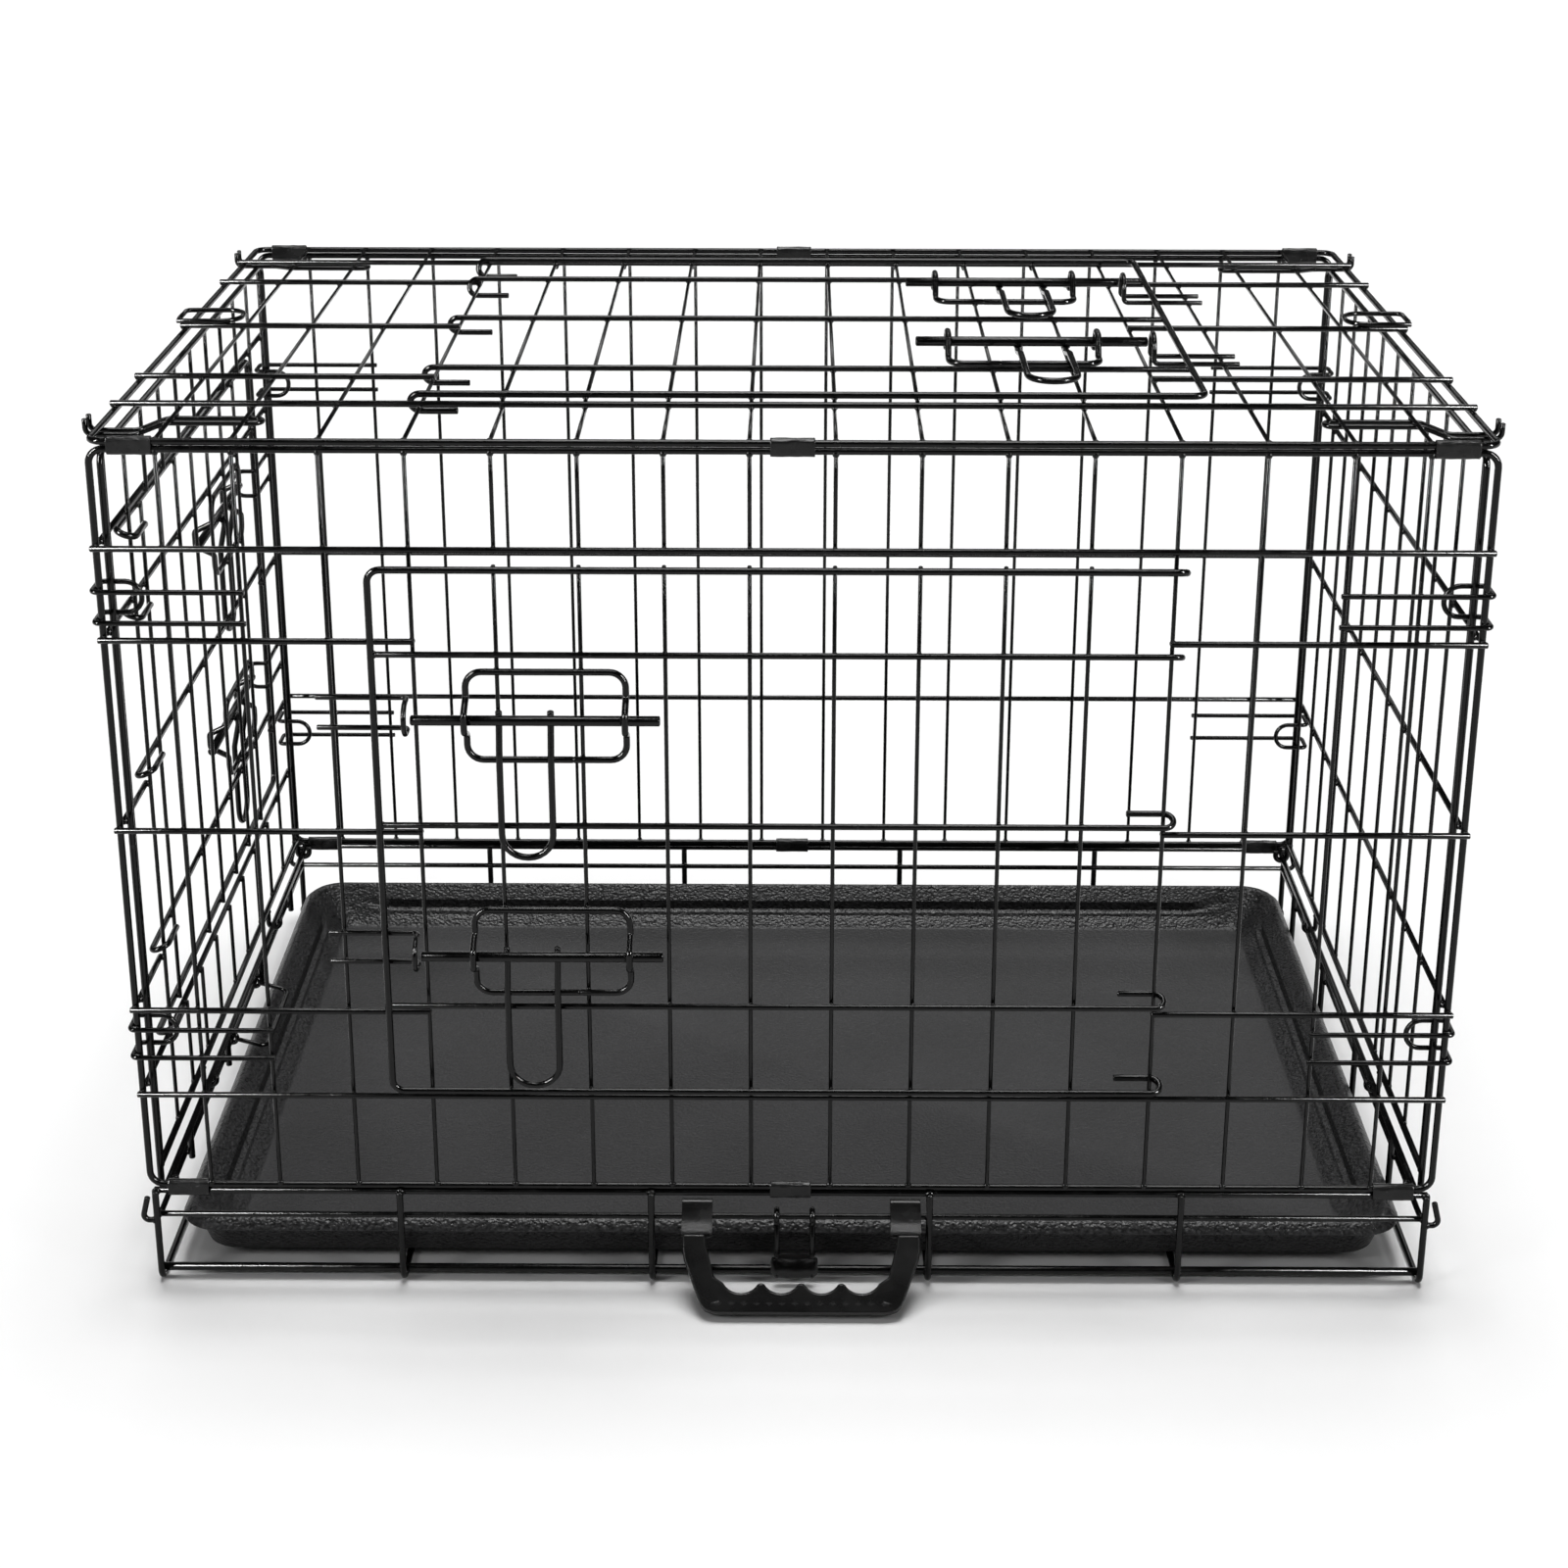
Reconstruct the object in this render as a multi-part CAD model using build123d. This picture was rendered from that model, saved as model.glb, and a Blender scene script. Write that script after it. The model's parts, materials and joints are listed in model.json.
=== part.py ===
"""Folding wire dog crate with front, side and top doors, a plastic tray and a carry handle.

Millimetres. +X is to the right, +Y to the back and +Z up, and the front door faces -Y.
The origin is on the floor, under the centre of the crate.
Every panel is drawn in its own face coordinates: a along its width, b along its height and
c outwards, with c = 0 on the plane where its uprights touch its crosswires.
A long bent wire is made as straight runs and bends that meet end to end.
"""

import math
import os

from build123d import *

# Wire diameters
THIN = 2.4  # uprights of the panels and doors
CROSS = 3.5  # crosswires, and the wires of the clips and hooks that carry load
FRAME = 4.0  # frames of the panels and doors, rails and uprights of the base
FLOOR = 5.0  # front and back floor wires of the base
LATCH = 3.8  # latch frames and bolt handles
BOLT = 5.8
CLIP = 3.0  # corner clips, keepers and the pan stop
SINK = 0.1  # how far two welded wires melt into each other

# Planes where uprights touch crosswires
FRONT_FACE = 238.0
SIDE_FACE = 375.5
TOP_FACE = 522.5

# Widths of the panels, to the axes of their posts
HALF_WIDTH = 377.0
HALF_SIDE = 226.0
CORNER = 8.0  # bend radius of the panel frames
STUB = 2.0  # straight end of a bend, where a straight piece meets it
LONG_RUN = 12.0  # straight runs longer than this are pieces of their own

# Heights
BASE_RAIL_Z = 60.0
BASE_MID_Z = 44.0
RUN_Z = FRAME / 2
PANEL_LOW_Z = 64.2
PANEL_HIGH_Z = 516.3
SIDE_LOW_Z = 70.0
SIDE_HIGH_Z = 512.0

# Spacing of the uprights
PITCH = 46.2
OUTER_UPRIGHT = 341.0
SIDE_PITCH = 43.6
SIDE_UPRIGHTS = 5

# Crosswires: the two full ones that bound a doorway, and the three that a door interrupts
DOORWAY_LEVELS = [126.0, 461.0]
BROKEN_LEVELS = [181.0, 294.0, 408.0]
TOP_DOORWAY_LEVELS = [-174.0, 180.0]
TOP_BROKEN_LEVELS = [-116.0, 3.0, 121.0]

# Doors
DOOR_FACE = 4.0  # c of the plane where a door's uprights touch its crosswires
DOOR_MARGIN = 22.0  # how far the door's frame laps over the upright beside the doorway
DOOR_CORNER = 7.0
DOOR_LOW_GAP = 6.0
DOOR_HIGH_GAP = 10.0
DOOR_OFFSET = 6.0  # between a door's crosswires and the panel's beside them
HOOK_SPAN = 10.3  # from the door's crosswire to the return of its hook
HOOK_RETURN = 20.0
HOOK_RISE = 4.0
LATCH_HEIGHTS = [0.282, 0.734]  # as shares of the door's height

# Latches
BOLT_C = DOOR_FACE + 8.5
BOLT_LENGTH = 137.0
BOLT_TIP = 1.1  # how far the bolt's tip stands back from the upright beside the doorway
EYE_SETBACK = 4.1  # how far the keeper's eye stands beyond that upright
EYE_HALF = 9.0
EYE_GAP = 0.6
KEEPER_LENGTH = 50.0
LATCH_START = 28.9
LATCH_LENGTH = 88.0
LATCH_HALF = 26.0
KINK_WIDE = 11.0
KINK_NARROW = 5.0
KINK_GAP = 0.5
HANDLE_START = 46.9
HANDLE_WIDTH = 28.5
HANDLE_DROP = 83.0
HANDLE_BACK = 5.15  # from the bolt's axis to the part of the handle's legs behind it
HANDLE_STUB = 3.2
HANDLE_FRONT_C = 11.0
HANDLE_BENDS = (5.0, 22.0)  # below the bolt's axis, where the handle's legs slant to the front

# Base
BASE_UPRIGHTS = [82.0, 230.0, 374.0]
BASE_SIDE_X = 369.15
BASE_SIDE_UPRIGHTS = [56.0, 168.0]
BASE_BEND = 6.0
HINGE_GAP = 0.35  # clearance of the hooks that turn on a wire
FOLD_HOOK_OUT = 6.8
FOLD_HOOK_TIP_OUT = 3.0
FOLD_HOOK_LOW_Z = 42.0
FOLD_HOOK_TIP_Z = 57.0
FOLD_HOOK_BEND = 3.5
FOLD_HOOK_SINK = 0.02  # shallow, because the hook's first straight piece is short

# Sleeves that tie each pair of hinge rails together
SLEEVE_CENTRES = [-354.6, 0.0, 354.6]
SLEEVE_LENGTH = 24.0
SLEEVE_WALL = 1.0
SLEEVE_GAP = 0.15

# Corner clips
CLIP_LEVELS = [159.0, 427.0]
CLIP_HALF = 9.0
CLIP_START_X = 298.0
CLIP_END_X = 358.0
CLIP_IN_Y = 221.6
CLIP_OUT_X = 380.9

# Hooks and loops of the top
TOP_HOOK_INNER_X = 292.0
TOP_HOOK_BENDS_X = (345.0, 358.0)
TOP_HOOK_OUT_X = 384.5
TOP_HOOK_Y = (194.5, 185.5)
TOP_HOOK_SHIFT = 15.5
TOP_HOOK_UNDER_Z = 516.4
TOP_HOOK_TIP_Z = 525.2
TOP_LOOP_Y = (2.0, 30.0)
TOP_LOOP_OUT = 4.0
TOP_LOOP_IN = 34.0

# Tray
TRAY_TOP = (732.0, 462.0)
TRAY_SLOPE = 13.0  # how far the foot of the outer wall is drawn in from the lip's edge
TRAY_LOW_Z = 8.4
TRAY_HIGH_Z = 34.5
TRAY_EDGE_Z = 29.0
TRAY_WALL = 2.5
TRAY_LIP = 5.5  # width of the lip that slopes down from the crest to the edge
TRAY_CORNER = 24.0

# Carry handle, which hangs from the base's middle wire and leans out to the floor
HANDLE_X = 6.5
HANDLE_TILT = 45.0
GRIP_TOP = 140.0
GRIP_BOTTOM = 118.0
GRIP_REACH = 57.0
GRIP_INNER = 42.0
GRIP_THICK = 9.0
ARM_WIDTH = 13.5
FINGER_PITCH = 23.5
FINGERS = 4
FINGER_RADIUS = 11.0
STRAP_WIDTH = 18.0
STRAP_LENGTH = 11.5  # from the middle wire down to the strap's lower edge
STRAP_CURL = 6.3  # from the middle wire up to the middle of the strap's curl
CURL_RADIUS = 4.2
STRAP_WALL = 1.2
STRAP_SPREAD = 61.6  # from the handle's middle to each strap's middle
TONGUE_THICK = 4.0
TONGUE_TOP = 1.6
STUDS = 12
STUD_PITCH = 7.4
STUD_SIZE = 2.6
STUD_RISE = 0.6

# Suitcase clip and pan stop
SUITCASE_LEGS = (-8.0, 13.0)
SUITCASE_REACH = 38.0
SUITCASE_TILT = 7.0
TAB_HEIGHT = 14.0
TAB_THICK = 2.5
STOP_LEGS = (-28.0, 50.0)
STOP_REACH = 24.0
STOP_TILT = 15.0

MID_Y = FRONT_FACE - CROSS / 2
MID_SIDE_X = BASE_SIDE_X + FRAME / 2 + CROSS / 2 - SINK


# Face coordinates to crate coordinates
def front(a, b, c):
    return (a, -(FRONT_FACE + c), b)


def back(a, b, c):
    return (-a, FRONT_FACE + c, b)


def left(a, b, c):
    return (-(SIDE_FACE + c), -a, b)


def right(a, b, c):
    return (SIDE_FACE + c, a, b)


def top(a, b, c):
    return (-a, b, TOP_FACE + c)


# Wires
def rod(start, end, diameter):
    """A straight wire."""
    run = Vector(*end) - Vector(*start)
    return Solid.make_cylinder(diameter / 2, run.length, Plane(start, z_dir=run))


def bent(points, radii, diameter):
    """A wire through the points, with one bend radius for each corner."""
    path = FilletPolyline(*points, radius=radii)
    section = Plane(path @ 0, z_dir=path % 0) * Circle(diameter / 2)
    return sweep(section, path=path).solid()


def pieces(points, radii, diameter, long_run=LONG_RUN):
    """A bent wire in pieces that meet end to end: its long straight runs and the bends between."""
    corners = [Vector(*p) for p in points]
    reaches = [0.0]
    for before, corner, after, radius in zip(corners, corners[1:], corners[2:], radii):
        inside = math.radians((before - corner).get_angle(after - corner))
        reaches.append(radius / math.tan(inside / 2) + STUB)
    reaches.append(0.0)
    solids, group, bends = [], [corners[0]], []
    for i, (start, end) in enumerate(zip(corners, corners[1:])):
        way = (end - start).normalized()
        first, last = start + way * reaches[i], end - way * reaches[i + 1]
        if (last - first).dot(way) > long_run:
            if bends:
                solids.append(bent([*group, first], bends, diameter))
            solids.append(rod(first, last, diameter))
            group, bends = [last], []
        group.append(end)
        if i < len(radii):
            bends.append(radii[i])
    if bends:
        solids.append(bent(group, bends, diameter))
    return solids


def crosswire(face, start, end, level, diameter=CROSS):
    """A straight wire along the panel, outside its uprights."""
    c = diameter / 2 - SINK
    return rod(face(start, level, c), face(end, level, c), diameter)


def upright(face, a, low, high):
    """A thin straight wire up the panel, inside its crosswires."""
    return rod(face(a, low, -THIN / 2), face(a, high, -THIN / 2), THIN)


def panel_frame(face, half, low, high):
    """A panel's rim: two posts with bent ends, and two rails between them."""
    c = -FRAME / 2
    inner = half - CORNER - STUB
    wires = [rod(face(-inner, b, c), face(inner, b, c), FRAME) for b in (low, high)]
    for side in (-1, 1):
        wires += pieces(
            [face(side * inner, low, c), face(side * half, low, c),
             face(side * half, high, c), face(side * inner, high, c)],
            [CORNER, CORNER],
            FRAME,
        )
    return wires


def panel_uprights(face, places, low, high, doorway, gap):
    """Uprights from rim to rim, or above and below the doorway for those that cross it."""
    low, high = low + FRAME / 2 - SINK, high - FRAME / 2 + SINK
    wires = []
    for a in places:
        if abs(a) < doorway - 1:
            wires.append(upright(face, a, low, gap[0] + CROSS / 2))
            wires.append(upright(face, a, gap[1] - CROSS / 2, high))
        else:
            wires.append(upright(face, a, low, high))
    return wires


def broken_crosswires(face, half, doorway, full, broken):
    """Crosswires of a panel with a doorway."""
    end = half + FRAME / 2
    wires = [crosswire(face, -end, end, b) for b in full]
    for b in broken:
        wires.append(crosswire(face, -end, -doorway + THIN / 2, b))
        wires.append(crosswire(face, doorway - THIN / 2, end, b))
    return wires


# Doors
def door_parts(face, doorway, places, full, broken):
    """A door that hooks onto the upright at a = doorway and locks at a = -doorway."""
    low, high = full[0] + DOOR_LOW_GAP, full[1] - DOOR_HIGH_GAP
    free = -doorway - DOOR_MARGIN
    c = DOOR_FACE + FRAME / 2 - SINK
    inner = free + DOOR_CORNER + STUB
    frame = pieces(
        [face(inner, low, c), face(free, low, c), face(free, high, c), face(inner, high, c)],
        [DOOR_CORNER, DOOR_CORNER],
        FRAME,
    )
    levels = [low, broken[0] + DOOR_OFFSET, broken[1] + DOOR_OFFSET, broken[2] - DOOR_OFFSET, high]
    rises = [HOOK_RISE, HOOK_RISE, HOOK_RISE, -HOOK_RISE, -HOOK_RISE]
    crosswires = []
    for level, rise in zip(levels, rises):
        rim = level in (low, high)
        diameter = FRAME if rim else CROSS
        start = inner if rim else free + FRAME / 2 - SINK
        crosswires += hinge_wire(face, doorway, start, level, rise, diameter)
    uprights = [
        rod(
            face(a, low - CROSS / 2, DOOR_FACE - THIN / 2),
            face(a, high + CROSS / 2, DOOR_FACE - THIN / 2),
            THIN,
        )
        for a in places
        if abs(a) < doorway - 1
    ]
    return frame, crosswires, uprights, [low + (high - low) * share for share in LATCH_HEIGHTS]


def hinge_wire(face, doorway, start, level, rise, diameter):
    """A door's crosswire, whose end hooks loosely round the upright beside the doorway."""
    c = DOOR_FACE + diameter / 2 - SINK
    back_c = DOOR_FACE + CROSS / 2 - SINK - HOOK_SPAN - (diameter - CROSS) / 2
    span = math.hypot(c - back_c, rise)
    turn = span / 2 - 0.05
    far = doorway + turn
    return pieces(
        [face(start, level, c), face(far, level, c), face(far, level + rise, back_c),
         face(doorway - HOOK_RETURN, level + rise, back_c)],
        [turn, turn],
        diameter,
    )


def latch_frame(face, doorway, level):
    """A rectangular wire loop, whose two sides kink forward over the bolt."""
    near = -doorway + LATCH_START
    far = near + LATCH_LENGTH
    middle = (near + far) / 2
    low, high = level - LATCH_HALF, level + LATCH_HALF
    c = DOOR_FACE + LATCH / 2 - SINK
    out = BOLT_C + BOLT / 2 + KINK_GAP + LATCH / 2
    points = [face(middle - SINK, low, c), face(near, low, c)]
    points += [face(near, level - KINK_WIDE, c), face(near, level - KINK_NARROW, out)]
    points += [face(near, level + KINK_NARROW, out), face(near, level + KINK_WIDE, c)]
    points += [face(near, high, c), face(far, high, c)]
    points += [face(far, level + KINK_WIDE, c), face(far, level + KINK_NARROW, out)]
    points += [face(far, level - KINK_NARROW, out), face(far, level - KINK_WIDE, c)]
    points += [face(far, low, c), face(middle + SINK, low, c)]
    kink = [3.0] * 4
    return bent(points, [9.0] + kink + [9.0, 9.0] + kink + [9.0], LATCH)


def bolt(face, doorway, level):
    start = -doorway - BOLT_TIP
    rounded = rod(face(start, level, BOLT_C), face(start + BOLT_LENGTH, level, BOLT_C), BOLT)
    return chamfer(rounded.edges().filter_by(GeomType.CIRCLE), 0.6).solid()


def bolt_handle(face, doorway, level):
    """A U of wire that starts behind the bolt and hangs in front of the latch frame."""
    near = -doorway + HANDLE_START
    far = near + HANDLE_WIDTH
    behind = BOLT_C - HANDLE_BACK
    drop = level - HANDLE_DROP
    upper, lower = level - HANDLE_BENDS[0], level - HANDLE_BENDS[1]
    points = [face(near, level + HANDLE_STUB, behind), face(near, upper, behind)]
    points += [face(near, lower, HANDLE_FRONT_C), face(near, drop, HANDLE_FRONT_C)]
    points += [face(far, drop, HANDLE_FRONT_C), face(far, lower, HANDLE_FRONT_C)]
    points += [face(far, upper, behind), face(far, level + HANDLE_STUB, behind)]
    turn = HANDLE_WIDTH / 2 - 0.5
    return bent(points, [6.0, 6.0, turn, turn, 6.0, 6.0], LATCH)


def keeper(face, doorway, level):
    """A hairpin of wire on the panel, whose closed end stands out as an eye for the bolt."""
    eye = -doorway - EYE_SETBACK
    start = eye - KEEPER_LENGTH
    c = CLIP / 2 - SINK
    out = BOLT_C + BOLT / 2 + EYE_GAP + CLIP / 2
    above, below = level + EYE_HALF, level - EYE_HALF
    points = [face(start, above, c), face(eye, above, c), face(eye, above, out)]
    points += [face(eye, below, out), face(eye, below, c), face(start, below, c)]
    return bent(points, [3.0, 8.5, 8.5, 3.0], CLIP)


# Base
def base_uprights():
    """Short uprights of the front and back walls, each bent in under the floor wire."""
    wires = []
    y = FRONT_FACE + FRAME / 2 - SINK
    for side in (-1, 1):
        for x in [s * place for place in BASE_UPRIGHTS for s in (-1, 1)]:
            points = [(x, side * y, BASE_RAIL_Z + 1), (x, side * y, RUN_Z)]
            points.append((x, side * (y - BASE_BEND - STUB), RUN_Z))
            wires += pieces(points, [BASE_BEND], FRAME)
    return wires


def base_floor_runs():
    """The same wires' straight runs across the floor, from front to back."""
    y = FRONT_FACE + FRAME / 2 - SINK - BASE_BEND - STUB
    places = [s * place for place in BASE_UPRIGHTS for s in (-1, 1)]
    return [rod((x, -y, RUN_Z), (x, y, RUN_Z), FRAME) for x in places]


def base_rails():
    """Rails, middle wires and floor wires of the base's four low walls.

    The floor wires nest in the bends of the front and back uprights.
    """
    half = BASE_UPRIGHTS[-1]
    rail_y = FRONT_FACE - FRAME / 2
    nest = (BASE_BEND - FRAME / 2 - FLOOR / 2 + SINK) * math.sqrt(0.5)
    floor_y = FRONT_FACE + FRAME / 2 - SINK - BASE_BEND + nest
    floor_z = RUN_Z + BASE_BEND - nest
    wires = []
    for side in (-1, 1):
        for y, z, diameter in (
            (rail_y, BASE_RAIL_Z, FRAME), (MID_Y, BASE_MID_Z, CROSS), (floor_y, floor_z, FLOOR)
        ):
            wires.append(rod((-half - 1, side * y, z), (half + 1, side * y, z), diameter))
        inside = rail_y - FRAME / 2 + SINK
        x = side * BASE_SIDE_X
        wires.append(rod((x, -inside, BASE_RAIL_Z), (x, inside, BASE_RAIL_Z), FRAME))
        x = side * MID_SIDE_X
        inside = MID_Y - CROSS / 2 + SINK
        wires.append(rod((x, -inside, BASE_MID_Z), (x, inside, BASE_MID_Z), CROSS))
    return wires


def base_side_wires():
    """Cross runs of the floor, the right wall's uprights, and the left wall's short ties.

    The left wall is open below its middle wire, where the tray slides out.
    """
    run_z = RUN_Z + FRAME - SINK
    top_z = BASE_RAIL_Z - FRAME / 2 + SINK / 2
    wires = []
    for y in [s * place for place in BASE_SIDE_UPRIGHTS for s in (-1, 1)]:
        points = [(-BASE_UPRIGHTS[-1], y, run_z), (BASE_SIDE_X, y, run_z), (BASE_SIDE_X, y, top_z)]
        wires += pieces(points, [BASE_BEND], FRAME)
        wires.append(rod((-BASE_SIDE_X, y, BASE_MID_Z - 4), (-BASE_SIDE_X, y, top_z), FRAME))
    return wires


def fold_hooks():
    """Upturned hooks outside the base's corners, which catch the panels when it is folded."""
    x = BASE_UPRIGHTS[-1] + FRAME / 2 - FOLD_HOOK_SINK
    y = FRONT_FACE + FRAME / 2 - SINK
    route = [
        (x, FOLD_HOOK_LOW_Z), (x + FOLD_HOOK_OUT, FOLD_HOOK_LOW_Z),
        (x + FOLD_HOOK_TIP_OUT, FOLD_HOOK_TIP_Z),
    ]
    hooks = []
    for sx in (-1, 1):
        for sy in (-1, 1):
            points = [(sx * px, sy * y, z) for px, z in route]
            hooks += pieces(points, [FOLD_HOOK_BEND], CROSS, long_run=5.0)
    return hooks


# Side panels
def side_frame(face):
    """A side panel's rim, whose posts end in hooks round the base's side rail."""
    c = -FRAME / 2
    span = 2 * (SIDE_FACE + c - BASE_SIDE_X)
    turn = span / 2 - 0.05
    low = BASE_RAIL_Z - span / 2
    inner = HALF_SIDE - CORNER - STUB
    wires = []
    for side in (-1, 1):
        wires += pieces(
            [face(side * inner, SIDE_HIGH_Z, c), face(side * HALF_SIDE, SIDE_HIGH_Z, c),
             face(side * HALF_SIDE, low, c), face(side * HALF_SIDE, low, c - span),
             face(side * HALF_SIDE, BASE_RAIL_Z + 3, c - span)],
            [CORNER, turn, turn],
            FRAME,
        )
    inside = HALF_SIDE - FRAME / 2 + SINK
    wires.append(rod(face(-inside, SIDE_LOW_Z, c), face(inside, SIDE_LOW_Z, c), FRAME))
    wires.append(rod(face(-inner, SIDE_HIGH_Z, c), face(inner, SIDE_HIGH_Z, c), FRAME))
    return wires


def side_hooks(face):
    """Two more hooks under the side panel's lower rail, round the base's side rail."""
    reach = FRAME / 2 + CROSS / 2 + HINGE_GAP
    turn = reach - 0.05
    middle = BASE_SIDE_X - SIDE_FACE
    low = BASE_RAIL_Z - reach
    return [
        bent(
            [face(a, SIDE_LOW_Z - FRAME / 2 + SINK / 2, middle + reach), face(a, low, middle + reach),
             face(a, low, middle - reach), face(a, BASE_RAIL_Z + 2, middle - reach)],
            [turn, turn],
            CROSS,
        )
        for a in (-2.5 * SIDE_PITCH, 2.5 * SIDE_PITCH)
    ]


# Hardware of the fixed panels
def sleeve(x, side, low_z):
    """A sheet-metal sleeve crimped round a pair of rails, one above the other."""
    y = side * (FRONT_FACE - FRAME / 2)
    hollow = FRAME / 2 + SLEEVE_GAP
    gap = PANEL_LOW_Z - BASE_RAIL_Z
    plane = Plane((x - SLEEVE_LENGTH / 2, y, low_z + gap / 2), x_dir=(0, 0, 1), z_dir=(1, 0, 0))
    profile = SlotCenterToCenter(gap, 2 * (hollow + SLEEVE_WALL)) - SlotCenterToCenter(gap, 2 * hollow)
    return extrude(plane * profile, amount=SLEEVE_LENGTH).solid()


def corner_clip(sx, sy, level):
    """A hairpin clip that wraps both corner posts and lets the side panel's post swing inwards."""
    y = FRONT_FACE + CLIP / 2 - SINK
    z = [level + CLIP_HALF, level - CLIP_HALF]
    route = [(CLIP_START_X, y), (CLIP_OUT_X, y), (CLIP_OUT_X, CLIP_IN_Y), (CLIP_END_X, CLIP_IN_Y)]
    points = [(sx * px, sy * py, z[0]) for px, py in route]
    points += [(sx * px, sy * py, z[1]) for px, py in reversed(route)]
    return bent(points, [3.4, 3.4, 8.8, 8.8, 3.4, 3.4], CLIP)


def top_loops():
    """Wire loops at the middle of the top's side edges."""
    z = TOP_FACE + CROSS - SINK + CLIP / 2 - SINK
    near, far = TOP_LOOP_Y
    loops = []
    for sx in (-1, 1):
        edge, inner = sx * (HALF_WIDTH + TOP_LOOP_OUT), sx * (HALF_WIDTH - TOP_LOOP_IN)
        points = [(edge, near, z), (inner, near, z), (inner, far, z), (edge, far, z)]
        loops.append(bent([*points, (edge, near + 6, z)], [12.0, 12.0, 4.0], CLIP))
    return loops


def top_hook(sx, sy):
    """A hairpin under the top's wires, whose two ends pass below its side post and turn up."""
    level = TOP_FACE - THIN - CLIP / 2 + SINK
    legs = []
    for y in TOP_HOOK_Y:
        end_y = y + TOP_HOOK_SHIFT
        legs.append([
            (TOP_HOOK_OUT_X, end_y, TOP_HOOK_TIP_Z), (TOP_HOOK_OUT_X, end_y, TOP_HOOK_UNDER_Z),
            (TOP_HOOK_BENDS_X[1], end_y, TOP_HOOK_UNDER_Z), (TOP_HOOK_BENDS_X[0], y, level),
            (TOP_HOOK_INNER_X, y, level),
        ])
    points = [(sx * x, sy * y, z) for x, y, z in legs[0] + legs[1][::-1]]
    return pieces(points, [4.0, 6.0, 6.0, 4.4, 4.4, 6.0, 6.0, 4.0], CLIP)


# Tray
def tray_layer(inset, z):
    """The tray's outline at one height, drawn in from its rim."""
    width, depth = TRAY_TOP
    outline = RectangleRounded(width - 2 * inset, depth - 2 * inset, TRAY_CORNER - 0.4 * inset)
    return Pos(0, 0, z) * outline


def tray():
    """An open tray with sloping walls and a narrow lip that is turned down all round."""
    wall = TRAY_WALL * 1.2
    outer = loft([tray_layer(TRAY_SLOPE, TRAY_LOW_Z), tray_layer(TRAY_LIP - 1, TRAY_HIGH_Z)])
    hollow = loft([
        tray_layer(TRAY_SLOPE + wall, TRAY_LOW_Z + TRAY_WALL),
        tray_layer(TRAY_LIP + wall / 2, TRAY_HIGH_Z + 0.01),
    ])
    lip = loft([tray_layer(0, TRAY_EDGE_Z), tray_layer(TRAY_LIP, TRAY_HIGH_Z)])
    lip -= loft([
        tray_layer(TRAY_WALL, TRAY_EDGE_Z - 0.01),
        tray_layer(TRAY_LIP, TRAY_HIGH_Z - TRAY_WALL),
    ])
    return (outer - hollow + (lip - hollow)).solid()


# Handle, suitcase clip and pan stop
def hanging_plane(x, tilt):
    """A plane through the front middle wire's axis, with +Y up along a part that leans out."""
    lean = math.radians(tilt)
    normal = (0, -math.cos(lean), math.sin(lean))
    return Plane((x, -MID_Y, BASE_MID_Z), x_dir=(1, 0, 0), z_dir=normal)


def carry_handle():
    """A moulded grip with four finger grooves and a tongue for each strap."""
    plane = hanging_plane(HANDLE_X, HANDLE_TILT)
    shoulder = -STRAP_LENGTH
    outline = Polygon(
        (-GRIP_TOP / 2, shoulder), (-GRIP_BOTTOM / 2, -GRIP_REACH), (GRIP_BOTTOM / 2, -GRIP_REACH),
        (GRIP_TOP / 2, shoulder), align=None,
    )
    opening = Polygon(
        (-GRIP_TOP / 2 + ARM_WIDTH, shoulder + 1), (-GRIP_BOTTOM / 2 + ARM_WIDTH + 4, -GRIP_INNER),
        (GRIP_BOTTOM / 2 - ARM_WIDTH - 4, -GRIP_INNER), (GRIP_TOP / 2 - ARM_WIDTH, shoulder + 1),
        align=None,
    )
    shape = fillet((outline - opening).vertices().sort_by(Axis.Y)[:2], 12)
    for i in range(FINGERS):
        x = (i - (FINGERS - 1) / 2) * FINGER_PITCH
        shape -= Pos(x, -GRIP_INNER + FINGER_RADIUS - 3) * Circle(FINGER_RADIUS)
    grip = extrude(shape, amount=GRIP_THICK / 2, both=True)
    grip = fillet(grip.faces().sort_by(Axis.Z)[-1].outer_wire().edges(), 1.5)
    for side in (-1, 1):
        height = STRAP_LENGTH + 1 - TONGUE_TOP
        tongue = Pos(0, -TONGUE_TOP - height / 2, 0) * Box(STRAP_WIDTH - 2, height, TONGUE_THICK)
        tongue -= Rot(0, 90, 0) * Cylinder(CROSS / 2 + HINGE_GAP, STRAP_WIDTH)
        grip += Pos(side * STRAP_SPREAD, 0, 0) * tongue
    for i in range(STUDS):
        stud = extrude(RegularPolygon(STUD_SIZE, 4), amount=STUD_RISE, taper=20)
        x = (i - (STUDS - 1) / 2) * STUD_PITCH
        grip += Pos(x, (-GRIP_REACH - GRIP_INNER) / 2 - 1, GRIP_THICK / 2 - 0.05) * stud
    return plane * grip.solid()


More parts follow.
